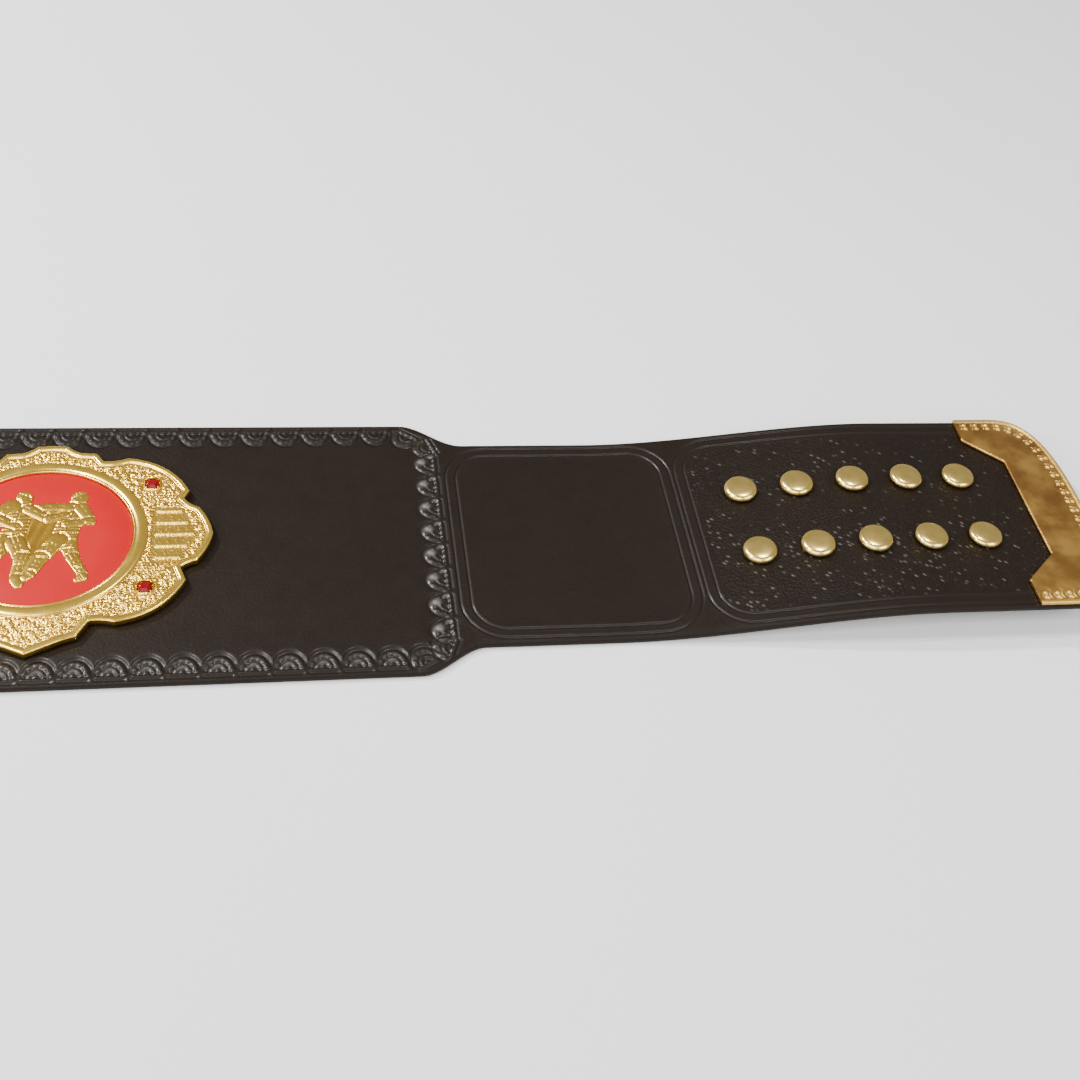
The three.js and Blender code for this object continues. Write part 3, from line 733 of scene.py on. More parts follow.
def makeStrap():
    outline = strapOutline()
    rings = [(drawnIn(outline, inset), height) for inset, height in strapEdge]
    under = hexSpots((-449.0, -69.0), (449.0, 69.0), strap["underStep"])
    under = under[np.abs(under[:, 1]) < halfWidthAt(under[:, 0]) - 4]
    points, faces, topCount = sheet(rings, strapTop, strapLoops(), strapSpots(), under)
    x, y, z = points.T
    isTop = np.arange(len(points)) < topCount
    # the columns are the most polished, the upper row the least
    share = np.where(np.abs(x) > strap["bodyHalfLength"], 0.4, np.where(y > 0, 0.12, 0.36))
    polish = np.clip(np.abs(stampField(x, y)) * 6, 0, 1) * share
    for offset in grooveOffsets(x, y):
        polish = np.maximum(polish, 0.3 * bell(offset, 0, 1.0))
    marks = {
        "stipple": np.where(isTop, smoothStep((intoSnapPanel(x, y) - 0.8) / 1.5), 0),
        # where the painted glint flecks gather: more of them towards negative y, fewer towards the tips
        "sparkle": smoothStep((12 - y) / 30) * smoothStep((470 - np.abs(x)) / 120),
        "relief": np.where(isTop, np.clip(0.5 + (z - strap["thickness"]) * 1.2, 0, 1), 0.4),
        "flesh": np.where(z < 0.1, 1.0, 0.0),
        "polish": np.where(isTop, polish, 0),
        # painted highlight on the crowns of the stamps
        "paintedCrownHighlight": np.where(isTop, crownHighlightField(x, y), 0),
    }
    mesh = meshFrom("strapLeather", ontoStrap(points), faces, 75, marks)
    addPiece("strapLeather", mesh, leather, ["strap"])


makeStrap()
print("belt: strap made")


# The centre plate

plate = {
    "rise": 2.9,
    "halfLength": 67.6,
    "top": 51.8,
    "bottom": 59.8,
    "face": 5.7,
    "recess": 4.7,
    "ringOuter": 41.4,
    "ringInner": 36.0,
    "edgeStep": 0.75,
    "step": 0.37,
    "leafHeight": 0.55,
    "leafSpacing": 2.75,
    "beadPitch": 1.65,
    "beadHeight": 0.36,
    "ribSpacing": 6.4,
    "ribWidth": 1.7,
    "ribStart": 44.6,
    "ribLength": 15.5,
    "ribShortening": 0.4,
    "ribCount": 5,
    "stoneX": 42.0,
    "stoneY": 28.4,
}
enamel = {"bottom": 5.0, "top": 5.5, "radius": 35.7}
prongFromMiddle = 2.42
prongProfile = [(0, 6.2), (0.55, 6.2), (0.58, 6.5), (0.48, 6.85), (0.28, 7.05), (0, 7.12)]
# the outline's right side from top to bottom, in shares of its half length and height, and each stretch's bow
plateRows = [
    (0.0, 1.0, 0), (0.09, 0.992, -0.06), (0.175, 0.915, 0), (0.27, 0.905, 0), (0.316, 0.815, -0.06),
    (0.467, 0.85, 0.137), (0.848, 0.468, 0), (0.818, 0.385, -0.08), (0.911, 0.285, 0.06), (1.0, 0.0, 0.06),
    (0.911, -0.247, -0.08), (0.818, -0.305, 0), (0.852, -0.418, 0.137), (0.464, -0.761, -0.06),
    (0.33, -0.745, 0), (0.268, -0.868, 0), (0.185, -0.9, 0), (0.0, -1.0, 0),
]
plateSide = [(0.25, 3.3), (0.0, 3.5), (0.0, 4.8)]  # below the rim: how far inside the outline, and the height
# from the outline inwards: rounded rim, engraved line, step down to the field
rimRows = [
    (0.0, 6.0), (0.1, 6.22), (0.35, 6.42), (0.8, 6.5), (1.5, 6.5), (2.0, 6.42), (2.25, 6.2), (2.45, 5.85),
    (2.7, 5.75), (3.0, 5.8), (3.3, 5.7),
]
# radius and height across the ring, from the field to the recess
ringRows = [
    (41.75, 5.66), (41.5, 5.85), (41.3, 6.3), (40.9, 6.56), (40.2, 6.68), (39.2, 6.7), (38.1, 6.64),
    (37.55, 6.52), (37.3, 6.3), (37.05, 6.3), (36.8, 6.5), (36.5, 6.56), (36.2, 6.45), (36.02, 6.1),
    (35.9, 4.7),
]
# radius and height of the steps of a stone's seat, from outside inwards
seatRows = [(4.6, plate["face"] - 0.1), (4.0, 6.1), (3.8, 6.45), (3.25, 6.1), (3.12, 5.0)]
# a seat is a square with cut corners: its half width and the cuts' ends, for a radius of 1
squareHalf, squareCut = math.cos(math.pi / 8), 1.5 * math.sin(math.pi / 8)
stonePlaces = [(sx * plate["stoneX"], sy * plate["stoneY"]) for sx in (-1, 1) for sy in (-1, 1)]
# the limbs of two wrestling figures, in shares of the recess's radius: from a point with a radius to another
# point with another radius, and how high each stands
figureLimbs = [
    ("ground", 0.05, 0.3, 0.23, -0.03, -0.13, 0.2, 0.1),
    ("ground", -0.42, 0.3, 0.12, -0.32, 0.2, 0.11, 0.1),
    ("ground", 0.42, 0.3, 0.1, 0.33, 0.2, 0.1, 0.1),
    ("leg", 0.29, -0.08, 0.115, 0.37, -0.33, 0.08, 0.35),
    ("leg", 0.37, -0.33, 0.08, 0.49, -0.56, 0.065, 0.4),
    ("boot", 0.5, -0.61, 0.06, 0.43, -0.65, 0.035, 0.45),
    ("trunk", 0.345, 0.45, 0.13, 0.25, -0.04, 0.145, 0.5),
    ("trunk", -0.25, 0.45, 0.14, -0.31, -0.03, 0.14, 0.5),
    ("leg", -0.36, -0.08, 0.11, -0.48, -0.32, 0.08, 0.35),
    ("leg", -0.48, -0.32, 0.08, -0.5, -0.54, 0.055, 0.4),
    ("boot", -0.5, -0.58, 0.045, -0.61, -0.6, 0.035, 0.45),
    ("leg", -0.26, -0.08, 0.11, -0.16, -0.33, 0.1, 0.6),
    ("leg", -0.16, -0.33, 0.1, -0.19, -0.6, 0.085, 0.62),
    ("boot", -0.19, -0.63, 0.08, -0.17, -0.68, 0.07, 0.6),
    ("leg", 0.19, -0.06, 0.11, 0.02, -0.33, 0.1, 0.65),
    ("leg", 0.02, -0.33, 0.1, -0.06, -0.53, 0.08, 0.7),
    ("boot", -0.06, -0.56, 0.06, -0.1, -0.6, 0.05, 0.6),
    ("head", 0.37, 0.6, 0.1, 0.36, 0.54, 0.09, 0.8),
    ("head", -0.235, 0.61, 0.1, -0.235, 0.55, 0.09, 0.8),
    ("arm", -0.36, 0.48, 0.1, -0.53, 0.33, 0.07, 0.6),
    ("arm", -0.53, 0.31, 0.065, -0.28, 0.16, 0.055, 0.65),
    ("arm", 0.3, 0.45, 0.065, -0.1, 0.45, 0.05, 0.7),
    ("arm", -0.17, 0.42, 0.07, 0.06, 0.26, 0.055, 0.8),
    ("arm", 0.06, 0.26, 0.055, 0.24, 0.33, 0.045, 0.9),
    ("arm", 0.41, 0.42, 0.085, 0.52, 0.23, 0.065, 0.85),
    ("arm", 0.52, 0.22, 0.06, 0.26, 0.18, 0.05, 1.0),
]
# raised bars on the figures' clothes: middle in shares of the recess's radius, length and turn
figureBars = [
    (0.28, 0.05, 4.4, 0.0), (0.31, -0.17, 3.0, 0.0), (0.07, -0.12, 2.2, 0.05), (-0.13, -0.21, 2.6, -0.1),
    (0.05, -0.3, 3.6, -0.12), (-0.2, -0.4, 2.8, -0.05), (-0.29, 0.02, 3.2, 0.2), (-0.3, 0.24, 1.8, 0.3),
    (0.1, 0.37, 4.8, 0.04), (0.49, 0.2, 1.6, 0.1), (-0.44, -0.2, 2.6, 0.1), (0.44, -0.46, 2.2, -0.2),
]
# the two heads: middle in shares of the recess's radius, and the way that each looks
figureHeads = ((0.368, 0.59, -1), (-0.235, 0.6, 1))


def plateCorner(x, y):
    return np.array([x * plate["halfLength"], y * (plate["top"] if y > 0 else plate["bottom"])])


def plateOutline():
    side = []
    for (x, y, bow), (nextX, nextY, _) in zip(plateRows, plateRows[1:]):
        start, end = plateCorner(x, y), plateCorner(nextX, nextY)
        chord = end - start
        outward = np.array([-chord[1], chord[0]])
        steps = 1 if bow == 0 else max(3, int(round(np.linalg.norm(chord) / 3.5)))
        for k in range(steps):
            t = k / steps
            side.append(start + chord * t + outward * (4 * bow * t * (1 - t)))
    last = plateCorner(*plateRows[-1][:2])
    mirrored = [p * (-1, 1) for p in side[1:]][::-1]
    return np.array((side + [last] + mirrored)[::-1])


plateEdge = plateOutline()


def squareLoop(radius, centre, step):
    a, b = radius * squareHalf, radius * squareCut
    whole = np.array([(a, b), (b, a), (-b, a), (-a, b), (-a, -b), (-b, -a), (b, -a), (a, -b)])
    return divided(whole, stepCounts(whole, step)) + np.array(centre)


def seatReach(x, y):
    # the radius of the seat outline, about the nearest stone, that goes through each point
    x, y = np.abs(np.abs(x) - plate["stoneX"]), np.abs(np.abs(y) - plate["stoneY"])
    return np.maximum(np.maximum(x, y) / squareHalf, (x + y) / (squareHalf + squareCut))


def ribRows():
    rows = []
    for i in range(plate["ribCount"]):
        offset = (i - (plate["ribCount"] - 1) / 2) * plate["ribSpacing"]
        end = plate["ribStart"] + plate["ribLength"] - abs(offset) * plate["ribShortening"]
        rows.append((offset, plate["ribStart"], end))
    return rows


def onRibs(x, y, margin):
    reach = plate["ribStart"] + plate["ribLength"] - np.abs(y) * plate["ribShortening"]
    inside = (np.abs(y) < plate["ribSpacing"] * 2.4 + margin) & (np.abs(x) > plate["ribStart"] - 1.2 - margin)
    return inside & (np.abs(x) < reach + 1.2 + margin)


def leafRows():
    # foliage for the right half, which the left half mirrors
    picker = random.Random(11)
    rows = []
    tries = hexSpots((0.0, -56.0), (66.0, 52.0), 0.9)
    order = list(range(len(tries)))
    picker.shuffle(order)
    x, y = tries.T
    free = isInside(tries, plateEdge) & (distanceTo(tries, plateEdge) >= 3.4) & ~onRibs(x, y, 0.9)
    free &= np.hypot(x, y) >= plate["ringOuter"] + 1.0
    free &= np.hypot(x - plate["stoneX"], y - plate["stoneY"]) >= 5.3
    for i in order:
        x, y = tries[i]
        if not free[i] or any(math.hypot(x - r[0], y - r[1]) < plate["leafSpacing"] for r in rows):
            continue
        around = math.atan2(y, x)
        lean = (1 if int((around + 4) / 0.21) % 2 else -1) * picker.uniform(0.5, 1.25)
        length = picker.uniform(5.0, 6.8)
        width = length * picker.uniform(0.32, 0.42)
        rows.append((x, y, around + lean, length, width, picker.uniform(0.6, 1.0), lean))
    return rows


def leafField(x, y):
    height = np.zeros(len(x))
    x = np.abs(x)
    for cx, cy, facing, length, width, rise, lean in leafRows():
        near = np.nonzero((np.abs(x - cx) < length) & (np.abs(y - cy) < length))[0]
        along, across = alongAcross(x[near] - cx, y[near] - cy, facing)
        along = along / length + 0.5
        across = across + math.copysign(1.3, lean) * (along - 0.5) ** 2
        inside = (along > 0) & (along < 1)
        t = np.clip(along, 0, 1)
        half = width / 2 * np.sin(math.pi * t) ** 0.7 * (1 + 0.24 * np.cos(2 * math.pi * 3.4 * t)) + 1e-6
        blade = domed(across / half) * inside
        vein = 0.45 * bell(across, 0, 0.24) * inside
        ripple = 0.12 * np.cos(2 * math.pi * (t * 6 + np.abs(across) / width * 2)) * blade
        height[near] = np.maximum(height[near], rise * (blade * (0.65 + 0.35 * t) - vein * blade + ripple))
    return height


def beadField(x, y):
    # small round beads in slightly uneven rows, over the ground and the leaves
    pitch, x = plate["beadPitch"], np.abs(x)
    row = np.round(y / (pitch * 0.866))
    shift = np.mod(row, 2) * pitch / 2 + 0.2 * pitch * np.sin(row * 2.7)
    column = np.round((x - shift) / pitch)
    away = np.hypot(x - shift - column * pitch, y - row * pitch * 0.866)
    rise = 0.8 + 0.35 * np.sin(row * 5.1 + column * 3.7)
    return plate["beadHeight"] * rise * domed(away / (pitch * 0.5))


def limbDistance(x, y, limb):
    # signed distance to a tapered limb, the share of its radius, and the places along and across it
    ax, ay, ar, bx, by, br = (v * plate["ringInner"] for v in limb[1:7])
    lx, ly = bx - ax, by - ay
    t = np.clip(((x - ax) * lx + (y - ay) * ly) / (lx * lx + ly * ly), 0, 1)
    radius = ar + (br - ar) * t
    away = np.hypot(x - ax - lx * t, y - ay - ly * t)
    side = ((x - ax) * -ly + (y - ay) * lx) / math.hypot(lx, ly)
    return away - radius, away / radius, t, side


def limbLevel(limb, share, t, side):
    # the height of a limb's surface: rounded, with the seams and folds of its kind
    kind, rise = limb[0], limb[7]
    level = 0.92 + 0.22 * rise + 0.34 * domed(np.minimum(share, 1))
    if kind == "ground":
        level = 1.02 + 0.05 * np.cos(t * 9 + side * 0.7) + 0.06 * np.cos(side * 1.6 + t * 4)
    if kind == "boot":
        level = level + 0.08 * np.cos(t * 20)
    if kind == "leg":
        level = level - 0.16 * bell(np.abs(side), 0.9, 0.25) * (np.cos(t * 22) > 0.1)
    if kind == "arm":
        level = level - 0.14 * bell(side, 0, 0.3) * (np.cos(t * 17 + 1) > 0)
    if kind == "trunk":
        folds = bell(np.mod(t * 9 + side * 0.10, 1), 0.5, 0.17)
        level = level - 0.2 * folds * (np.abs(side) > 0.7) - 0.22 * bell(side, 0, 0.28) * (t < 0.75)
        level = level + 0.16 * (np.abs(t - 0.93) < 0.05)
    return level


def calmProfiles(x, y):
    # hair, then ear, eye, nose, mouth and chin, the same for both heads
    change = np.zeros(len(x))
    for cx, cy, way in figureHeads:
        radius = 0.1 * plate["ringInner"]
        u = (x - cx * plate["ringInner"]) / radius * way
        v = (y - cy * plate["ringInner"]) / radius
        hair = smoothStep((v - 0.30 + 0.5 * u) / 0.15) * smoothStep((1.05 - np.hypot(u, v)) / 0.2)
        head = hair * (0.14 + 0.10 * np.cos(u * 15 + 3 * np.sin(v * 4)))
        for rise, across, up, halfAcross, halfUp in (
            (0.13, -0.28, -0.02, 0.16, 0.2),
            (-0.16, 0.52, 0.05, 0.14, 0.08),
            (0.14, 0.86, -0.15, 0.14, 0.2),
            (-0.13, 0.72, -0.48, 0.18, 0.06),
            (-0.12, 0.1, -0.82, 0.5, 0.1),
        ):
            head = head + rise * bell(u, across, halfAcross) * bell(v, up, halfUp)
        change = change + np.where(np.hypot(u, v) < 1.15, head, 0)
    return change


def figureField(x, y):
    # height above the recess's floor
    mass = np.full(len(x), 9.0)
    for limb in figureLimbs:
        away = limbDistance(x, y, limb)[0]
        share = np.clip(0.5 + 0.5 * (mass - away) / 0.9, 0, 1)
        mass = mass * (1 - share) + away * share - 0.9 * share * (1 - share) * 0.5
    height = 1.02 * smoothStep(0.55 - mass / 0.9)
    for limb in figureLimbs:
        away, share, t, side = limbDistance(x, y, limb)
        if limb[0] != "ground":
            height = height - 0.30 * bell(away, 0.12, 0.30) * (mass < 0.2)
        body = smoothStep(0.5 - away / 0.5)
        height = height * (1 - body) + limbLevel(limb, share, t, side) * body
    height = height + calmProfiles(x, y)
    for bx, by, length, turn in figureBars:
        along, across = alongAcross(x - bx * plate["ringInner"], y - by * plate["ringInner"], turn)
        away = np.hypot(np.maximum(np.abs(along) - length / 2, 0), across)
        height = height + 0.34 * smoothStep((0.62 - away) / 0.45) - 0.1 * bell(away, 0.85, 0.25)
    height = np.where(mass < -0.25, np.maximum(height, 0.93), height)
    return height * smoothStep(0.62 - mass / 0.9)


def plateTop(x, y):
    points = np.stack([x, y], axis=1)
    r = np.hypot(x, y)
    edge = np.where(isInside(points, plateEdge), distanceTo(points, plateEdge), 0)
    fading = smoothStep((edge - 3.0) / 0.7) * smoothStep((r - 41.6) / 0.7)
    beads, face = beadField(x, y), plate["face"]
    field = face - 0.2 + (plate["leafHeight"] * leafField(x, y) + beads) * fading
    field = np.where(onRibs(x, y, 0.35), face - 0.15 + 0.4 * beads, field)
    halfRib = plate["ribWidth"] / 2
    for offset, start, end in ribRows():
        middle, half = (start + end) / 2, (end - start) / 2
        away = np.hypot(np.maximum(np.abs(np.abs(x) - middle) - half + halfRib, 0), y - offset)
        field = np.maximum(field, face - 0.1 + smoothStep((halfRib + 0.2 - away) / 0.55))
    height = np.where(edge < rimRows[-1][0], np.interp(edge, *zip(*rimRows)), field)
    seat = seatReach(x, y)
    for reach, level in seatRows:
        height = np.where(seat < reach, level, height)
    radii, levels = np.array(ringRows[::-1]).T
    height = np.where(r < radii[-1], np.interp(r, radii, levels), height)
    return np.where(r < 35.5, plate["recess"] + figureField(x, y), height)


def plateSpots():
    spots = hexSpots((-67.0, -57.0), (67.0, 53.0), plate["step"])
    x, y = spots.T
    r = np.hypot(x, y)
    field = isInside(spots, plateEdge) & (distanceTo(spots, plateEdge) > 3.55) & (r > 41.95)
    field &= seatReach(x, y) > 4.85
    mass = np.full(len(spots), 9.0)
    for limb in figureLimbs:
        mass = np.minimum(mass, limbDistance(x, y, limb)[0])
    return spots[field | ((mass < 1.3) & (r < 35.2))]


def makePlate():
    counts = stepCounts(plateEdge, plate["edgeStep"])
    rings = [(divided(drawnIn(plateEdge, inset), counts), height) for inset, height in plateSide + rimRows]
    loops = [circleLoop(radius, 256) for radius, _ in ringRows]
    for centre in stonePlaces:
        loops += [squareLoop(radius, centre, 0.7) for radius in (4.61, 4.01, 3.81, 3.26, 3.13, 3.0)]
    points, faces, topCount = sheet(rings, plateTop, loops, plateSpots())
    x, y, z = points.T
    r = np.hypot(x, y)
    top = np.arange(len(points)) < topCount
    inField = top & (distanceTo(points[:, :2], plateEdge) > 3.2) & (r > 41.6)
    # the relief mark paints shade and highlight into the gold: dark on the low ground and the figures, light
    # on raised parts, the rim, the ring and the seats
    relief = np.where(inField, np.clip((z - 5.45) / 0.75, 0, 1), 0.8)
    relief = np.where(r < 35.8, np.clip((z - 5.65) / 0.5, 0, 1) * 0.4 + 0.16, relief)
    relief = np.where(inField & onRibs(x, y, 0.0), np.clip(0.55 + (z - 5.6) * 0.5, 0, 1), relief)
    fine = np.where(inField, np.where(onRibs(x, y, -0.2), 0.3, 0.5), 0.0)
    fine = np.where(r < 35.8, 0.06, fine)
    points = points + np.array([0, plate["rise"], 0])
    mesh = meshFrom("plateCasting", points, faces, 55, {"relief": relief, "fine": fine})
    addPiece("plateCasting", mesh, castGold, ["centre_plate"])


def makeEnamel():
    bottom, top, radius = enamel["bottom"], enamel["top"], enamel["radius"]
    profile = [(0, bottom), (radius, bottom), (radius, top - 0.1), (radius - 0.12, top), (22, top - 0.02)]
    points, faces = turnedShape(profile + [(0, top - 0.03)], 128)
    mesh = meshFrom("enamelDisc", points + np.array([0, plate["rise"], 0]), faces, 50)
    addPiece("enamelDisc", mesh, enamelRed, ["enamel"])


def makeProngs():
    # a bead over each cut corner of the four stones
    bead, beadFaces = turnedShape(prongProfile, 12)
    beads = []
    for x, y in stonePlaces:
        for dx in (-prongFromMiddle, prongFromMiddle):
            for dy in (-prongFromMiddle, prongFromMiddle):
                beads.append((bead + np.array((x + dx, y + dy + plate["rise"], 0)), beadFaces))
    addPiece("stoneProngs", meshFrom("stoneProngs", *joined(beads), 50), castGold)


def finishStones():
    for corner in ("upper_right", "lower_right", "upper_left", "lower_left"):
        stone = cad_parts["stone_" + corner]
        stone.data.materials.clear()
        stone.data.materials.append(redGlass.material)


makePlate()
makeEnamel()
makeProngs()
finishStones()
print("belt: plate made")


# The tip plates

tip = {
    "start": 409.5,
    "notchDepth": 16.0,
    "wing": 14.2,
    "slant": 14.2,
    "edge": 0.5,
    "face": 4.5,
    "beadFromEdge": 4.6,
    "beadPitch": 5.5,
    "beadRadius": 1.12,
    "beadHeight": 0.55,
    "edgeStep": 0.8,
    "sideStep": 0.9,
    "coarseStep": 1.35,
    "fineStep": 0.36,
}
# distance and height inwards from the outer edge, and from the inner edge
tipRim = [(0, 4.7), (0.25, 4.92), (0.7, 5.0), (1.3, 4.97), (1.8, 4.8), (2.1, 4.55), (2.4, 4.42), (2.7, 4.5)]
tipBevel = [(0, 4.2), (0.2, 4.42), (0.45, 4.52), (0.8, 4.5), (1.0, 4.5)]


def tipOuter(inset):
    # the outer edge from the upper wing round the end to the lower wing
    upper = np.concatenate([[(tip["start"], strap["tailWidth"] / 2 - inset)], endCurve(inset, 300)])
    upper = evenly(upper, tip["edgeStep"])
    return np.concatenate([upper, (upper * (1, -1))[::-1][1:]])


def tipInner():
    # the stepped inner edge from the lower wing back to the upper one
    wingX, middleX = tip["start"], tip["start"] + tip["notchDepth"]
    wingY = strap["tailWidth"] / 2 - tip["wing"]
    middleY = wingY - tip["slant"]
    return np.array([(wingX, -wingY), (middleX, -middleY), (middleX, middleY), (wingX, wingY)])


def tipOutline():
    return np.concatenate([tipOuter(tip["edge"]), tipInner()])[::-1]


def toTipOuter(points):
    return distanceTo(points, tipOuter(tip["edge"]), closed=False)


def toTipInner(points):
    return distanceTo(points, tipInner(), closed=False)


def beadUnits():
    # middle and facing of each pair of beads along the border
    line = tipOuter(tip["edge"] + tip["beadFromEdge"])
    line = line[line[:, 0] > tip["start"] + 1.5]
    along = lengthsAlong(line)
    count = int(along[-1] / tip["beadPitch"])
    units = []
    for k in range(count):
        at = (k + 0.5) * along[-1] / count
        (x, beforeX, afterX), (y, beforeY, afterY) = (
            np.interp([at, at - 0.5, at + 0.5], along, line[:, i]) for i in (0, 1)
        )
        units.append((x, y, math.atan2(afterY - beforeY, afterX - beforeX)))
    return units


def beadRelief(along, across):
    # two beads side by side with a bent bar before them
    raised = np.zeros(len(along))
    for side in (-1, 1):
        r = np.hypot(along - 0.35, across - side * 1.15)
        raised = np.maximum(raised, tip["beadHeight"] * domed(r / tip["beadRadius"]))
    bend = np.abs((along + 1.45) + 0.45 * (np.abs(across) - 0.9))
    raised = np.maximum(raised, 0.3 * np.clip(1 - (bend / 0.5) ** 2, 0, 1) * (np.abs(across) < 1.8))
    pressed = 0.12 * bell(np.hypot(along, across), 2.7, 0.4)
    return raised - pressed * (raised < 0.01)


def tipTop(x, y):
    points = np.stack([x, y], axis=1)
    outer, inner = toTipOuter(points), toTipInner(points)
    height = np.where(outer < tipRim[-1][0], np.interp(outer, *zip(*tipRim)), tip["face"])
    height = height + 0.05 * np.sin(x / 9 + 1) * np.cos(y / 15)
    bevel = np.interp(inner, *zip(*tipBevel))
    height = np.where(inner < tipBevel[-1][0], np.minimum(height, bevel), height)
    for cx, cy, facing in beadUnits():
        near = np.hypot(x - cx, y - cy) < 3.4
        height[near] += beadRelief(*alongAcross(x[near] - cx, y[near] - cy, facing))
    return height


def tipSpots():
    # a coarse grid, a finer one along the beads, and rows along the rim and the bevel
    groups = []
    for step, isFine in ((tip["coarseStep"], False), (tip["fineStep"], True)):
        tries = hexSpots((tip["start"], -57.0), (453.0, 57.0), step)
        outer = toTipOuter(tries)
        zone = (outer > 3.1) & (outer < 7.4) if isFine else (outer <= 2.6) | (outer >= 7.9)
        groups.append(tries[zone & isInside(tries, tipOutline()) & (toTipInner(tries) > 1.3) & (outer > 2.9)])
    for inset, _ in tipRim[1:]:
        line = tipOuter(tip["edge"] + inset)
        groups.append(line[(toTipInner(line) > 0.5) & (line[:, 0] > tip["start"] + 0.3)])
    for inset in (0.2, 0.45, 0.8, 1.1):
        line = evenly(drawnIn(tipOutline(), inset)[:4][::-1], tip["sideStep"])
        groups.append(line[toTipOuter(line) > 2.9])
    return np.concatenate(groups)


def makeTips():
    outline = tipOutline()
    counts = stepCounts(outline, tip["sideStep"])
    side = ((0.2, 3.3), (0.0, 3.45), (0.0, 4.2))
    rings = [(divided(drawnIn(outline, inset), counts), height) for inset, height in side]
    points, faces, _ = sheet(rings, tipTop, (), tipSpots())
    # the relief mark paints a highlight on the raised rim and beads
    relief = np.clip((points[:, 2] - 4.52) / 0.35, 0, 1)
    for way, name in zip(sides, ("Right", "Left")):
        # the left tip plate is the right one turned half round
        mesh = meshFrom("tipPlate" + name, ontoStrap(points) * (way, way, 1), faces, 50, {"relief": relief})
        addPiece("tipPlate" + name, mesh, tipGold, ["tip_plate_" + name.lower()])


makeTips()
print("belt: tips made")


# The snap caps and studs

snapProfiles = {
    "cap": [
        (0, 3.3), (6.9, 3.3), (7.35, 3.36), (7.5, 3.6), (7.5, 3.95), (7.36, 4.45), (7.02, 4.95), (6.5, 5.36),
        (5.8, 5.64), (4.8, 5.84), (3.4, 5.98), (1.8, 6.07), (0, 6.1),
    ],
    "socket": [
        (0, -1.1), (1.5, -1.1), (2.1, -1.12), (2.3, -1.5), (2.55, -1.7), (2.7, -2.2), (2.7, -3.6),
        (2.95, -4.0), (3.4, -4.1), (3.9, -3.95), (4.1, -3.5), (4.2, -2.2), (4.7, -1.75), (5.4, -1.6),
        (5.75, -1.35), (5.95, -0.9), (6.0, -0.45), (5.8, -0.3), (0, -0.3),
    ],
    "stud": [
        (0, 3.3), (5.9, 3.3), (6.2, 3.45), (6.15, 3.75), (5.8, 4.0), (5.0, 4.12), (3.4, 4.15), (2.5, 4.2),
        (2.05, 4.4), (2.0, 4.75), (2.1, 5.2), (2.36, 5.7), (2.4, 6.0), (2.28, 6.4), (1.9, 6.7), (1.1, 6.86),
        (0.6, 6.8), (0, 6.75),
    ],
    "rivet": [(0, -1.1), (2.6, -1.06), (4.4, -0.95), (5.2, -0.75), (5.5, -0.45), (5.35, -0.3), (0, -0.3)],
}


def snapMesh(name, front, back):
    shapes = [turnedShape(snapProfiles[profile], 56) for profile in (front, back)]
    return meshFrom(name, *joined(shapes), 48)


def makeSnaps():
    picker = random.Random(5)
    for side, name, node, front, back in (
        (1, "snapCap", "snap_cap_", "cap", "socket"),
        (-1, "snapStud", "snap_stud_", "stud", "rivet"),
    ):
        mesh = snapMesh(name, front, back)
        for i, (x, y) in enumerate(snapPlaces(), 1):
            piece = addPiece(f"{name}{i}", mesh, snapBrass, [f"{node}{i}"])
            x = side * x
            tilt = Matrix.Rotation(-float(tiltAt(x)), 4, "Y")
            spin = Matrix.Rotation(picker.uniform(0, 6.28), 4, "Z")
            piece.matrix_world = Matrix.Translation((x * mm, y * mm, float(liftAt(x)) * mm)) @ tilt @ spin


makeSnaps()
print("belt: snaps made")


# Floor, light and camera

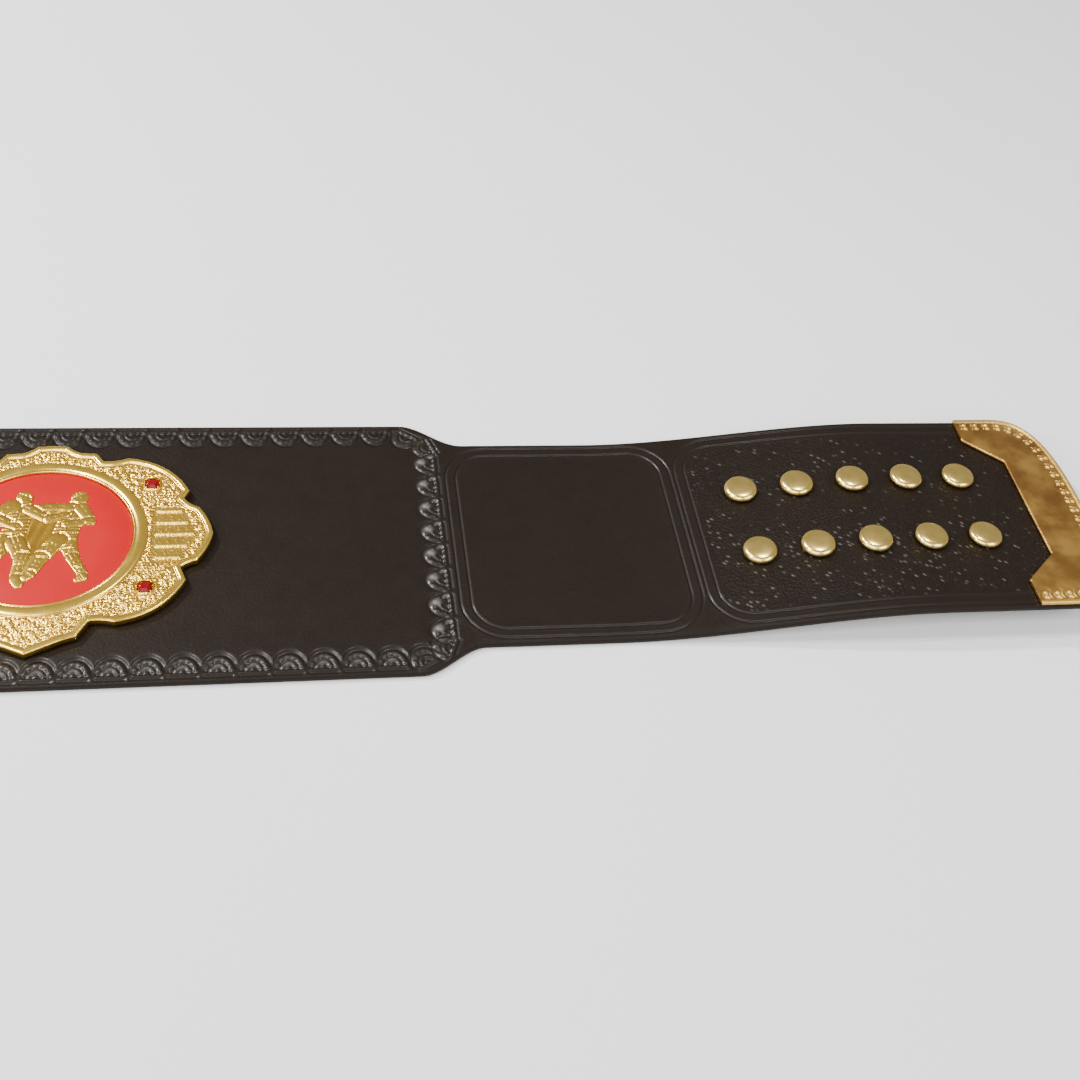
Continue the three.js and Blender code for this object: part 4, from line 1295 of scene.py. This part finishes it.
studio = {
    "floorSize": 12,
    "floorColour": (0.79, 0.79, 0.79, 1),
    "floorShade": (0.64, 0.64, 0.64, 1),
    "floorCloud": 900,
    "worldColour": (1.0, 0.99, 0.98, 1),
    "worldStrength": 0.40,
    # place, aim, width, depth and power of each light
    "lights": [
        ((-0.7, -1.3, 1.5), (0.1, 0.1, 0.0), 1.6, 1.2, 40.0),
        ((1.2, -1.1, 1.4), (0.2, 0.1, 0.0), 1.2, 1.0, 26.0),
        ((-1.05, -0.38, 0.8), (0.1, 0.0, 0.0), 0.14, 0.14, 10.0),
        ((-0.95, 0.75, 1.25), (0.1, 0.0, 0.0), 0.14, 0.14, 36.0),
        ((-0.55, 0.15, 1.3), (0.1, 0.0, 0.0), 0.12, 0.12, 12.0),
        ((0.45, 0.35, 1.5), (0.2, 0.0, 0.0), 0.08, 0.08, 8.0),
    ],
}
view = {
    "place": (0.09931, -0.38193, 0.42546),
    "forward": (0.1806, 0.6578, -0.7312),
    "up": (0.0195, 0.7409, 0.6713),
    "lens": 45.0,
    "sensor": 36.0,
    "nearest": 0.01,
}


def makeFloor():
    bpy.ops.mesh.primitive_plane_add(size=studio["floorSize"], location=(0, 0, 0))
    floor = bpy.context.object
    floor.name = "paleFloor"
    paint = Finish("palePaint", {"Roughness": 0.9, "Specular IOR Level": 0.2})
    cloud = paint.noise(paint.place(), studio["floorCloud"], 2)
    paint.feed({"Base Color": paint.blend(cloud, studio["floorColour"], studio["floorShade"])})
    floor.data.materials.append(paint.material)


def makeLights():
    world = bpy.data.worlds.new("studio")
    world.use_nodes = True
    background = world.node_tree.nodes["Background"]
    background.inputs["Color"].default_value = studio["worldColour"]
    background.inputs["Strength"].default_value = studio["worldStrength"]
    bpy.context.scene.world = world
    for i, (place, aim, width, depth, power) in enumerate(studio["lights"], 1):
        lamp = bpy.data.lights.new(f"softLight{i}", "AREA")
        lamp.shape = "RECTANGLE"
        lamp.size, lamp.size_y, lamp.energy = width, depth, power
        piece = bpy.data.objects.new(lamp.name, lamp)
        bpy.context.scene.collection.objects.link(piece)
        piece.location = place
        piece.rotation_euler = (Vector(aim) - Vector(place)).to_track_quat("-Z", "Y").to_euler()


def makeCamera():
    lens = bpy.data.cameras.new("view")
    lens.lens, lens.sensor_width, lens.clip_start = view["lens"], view["sensor"], view["nearest"]
    camera = bpy.data.objects.new("view", lens)
    bpy.context.scene.collection.objects.link(camera)
    back = -Vector(view["forward"]).normalized()
    right = Vector(view["up"]).cross(back).normalized()
    turn = Matrix((right, back.cross(right), back)).transposed().to_4x4()
    camera.matrix_world = Matrix.Translation(view["place"]) @ turn
    bpy.context.scene.camera = camera


makeFloor()
makeLights()
makeCamera()
print("belt: studio made")
